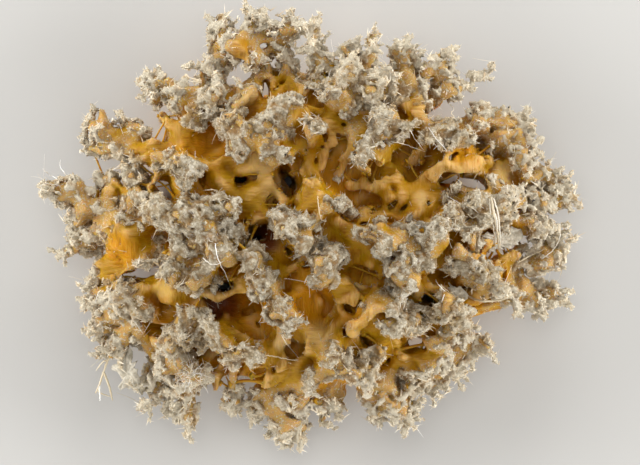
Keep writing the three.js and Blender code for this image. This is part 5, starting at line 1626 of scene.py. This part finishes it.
def film_material():
    n = Nodes("dry film")
    colour = n.mix(n.ramp(n.noise(1.4, 3), 0.3, 0.7), GREY_FILM, CREAM_FILM)
    return n.finish(
        colour, 0.7, Specular_IOR_Level=0.2, Subsurface_Weight=0.4, Subsurface_Radius=(0.8, 0.9, 1.0),
        Subsurface_Scale=0.6 * MM, Normal=n.bump(n.noise(0.8, 3, n.scaled(1, 0.3, 1)), 0.4),
    )


# Stage, camera and light

FLOOR_SIZE = 4
CAMERA_HEIGHT = 0.9
SENSOR = 36
NEAREST_SEEN = 0.01
# The photo's frame, in millimetres at the height of the rim: its width, and where its middle lies
VIEW_WIDTH = 134.5
VIEW_X = 4.5
VIEW_Y = -0.8
VIEW_Z = 16
# Soft lights that look at the clump: place in metres, power in watts, width in metres
LIGHTS = {
    "left": [(-0.55, 0.1, 0.18), 3.5, 0.3],
    "right": [(0.55, 0.0, 0.18), 3.3, 0.3],
    "back": [(0.05, 0.6, 0.25), 2.2, 0.35],
    "front": [(0.0, -0.6, 0.2), 1.6, 0.35],
    "top": [(-0.05, 0.1, 0.8), 1.2, 0.4],
}
LIT_PLACE = Vector((0, 0, 0.01))
SKY_COLOUR = (1, 0.97, 0.93, 1)
SKY_STRENGTH = 0.46


def make_floor():
    bpy.ops.mesh.primitive_plane_add(size=FLOOR_SIZE)
    floor = bpy.context.object
    floor.name = "floor"
    floor.data.materials.append(Nodes("pale floor").finish(FLOOR_GREY, 0.9))


def make_camera():
    data = bpy.data.cameras.new("camera")
    camera = bpy.data.objects.new("camera", data)
    bpy.context.scene.collection.objects.link(camera)
    data.sensor_width = SENSOR
    data.lens = SENSOR * (CAMERA_HEIGHT - VIEW_Z * MM) / (VIEW_WIDTH * MM)
    data.clip_start = NEAREST_SEEN
    camera.location = (VIEW_X * MM, VIEW_Y * MM, CAMERA_HEIGHT)
    bpy.context.scene.camera = camera


def make_lights():
    for name, (place, power, size) in LIGHTS.items():
        data = bpy.data.lights.new(name, "AREA")
        data.energy = power
        data.size = size
        light = bpy.data.objects.new(name, data)
        light.location = place
        light.rotation_euler = (LIT_PLACE - Vector(place)).to_track_quat("-Z", "Y").to_euler()
        bpy.context.scene.collection.objects.link(light)
    world = bpy.data.worlds.new("studio")
    world.use_nodes = True
    world.node_tree.nodes["Background"].inputs["Color"].default_value = SKY_COLOUR
    world.node_tree.nodes["Background"].inputs["Strength"].default_value = SKY_STRENGTH
    bpy.context.scene.world = world
    bpy.context.scene.view_settings.view_transform = "Standard"


make_camera()
make_lights()
make_floor()

skin = Skin()
crust, crust_field, shell = make_crust(crust_material(), skin)
flesh_finish = flesh_material()
flesh_skin = Skin()
flesh = [make_flesh(flesh_finish, crust_field, shell, flesh_skin), make_strands(flesh_finish)]
grain_finish = grain_material()
for name, seed in (("grains_one", 71), ("grains_two", 72)):
    crust.append(make_grains(name, skin, seed, grain_finish))
fray_finish = fray_material()
crust.append(make_frays(skin, fray_finish))
crust.append(make_wisps("wisps", skin, 63, WISP_COUNT, 0.75, 0.19, fray_finish))
crust.append(make_wisps("fuzz", flesh_skin, 64, FUZZ_COUNT, 1.3, 0.13, fray_finish))
ground = Ground(crust_field, shell)
fibre = make_fibres(skin, ground, fibre_material())
fibre.append(make_films(film_material()))

for slot, pieces in (("flesh", flesh), ("crust", crust), ("fibre", fibre)):
    for piece in pieces:
        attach(piece, "root")
        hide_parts("sponge")
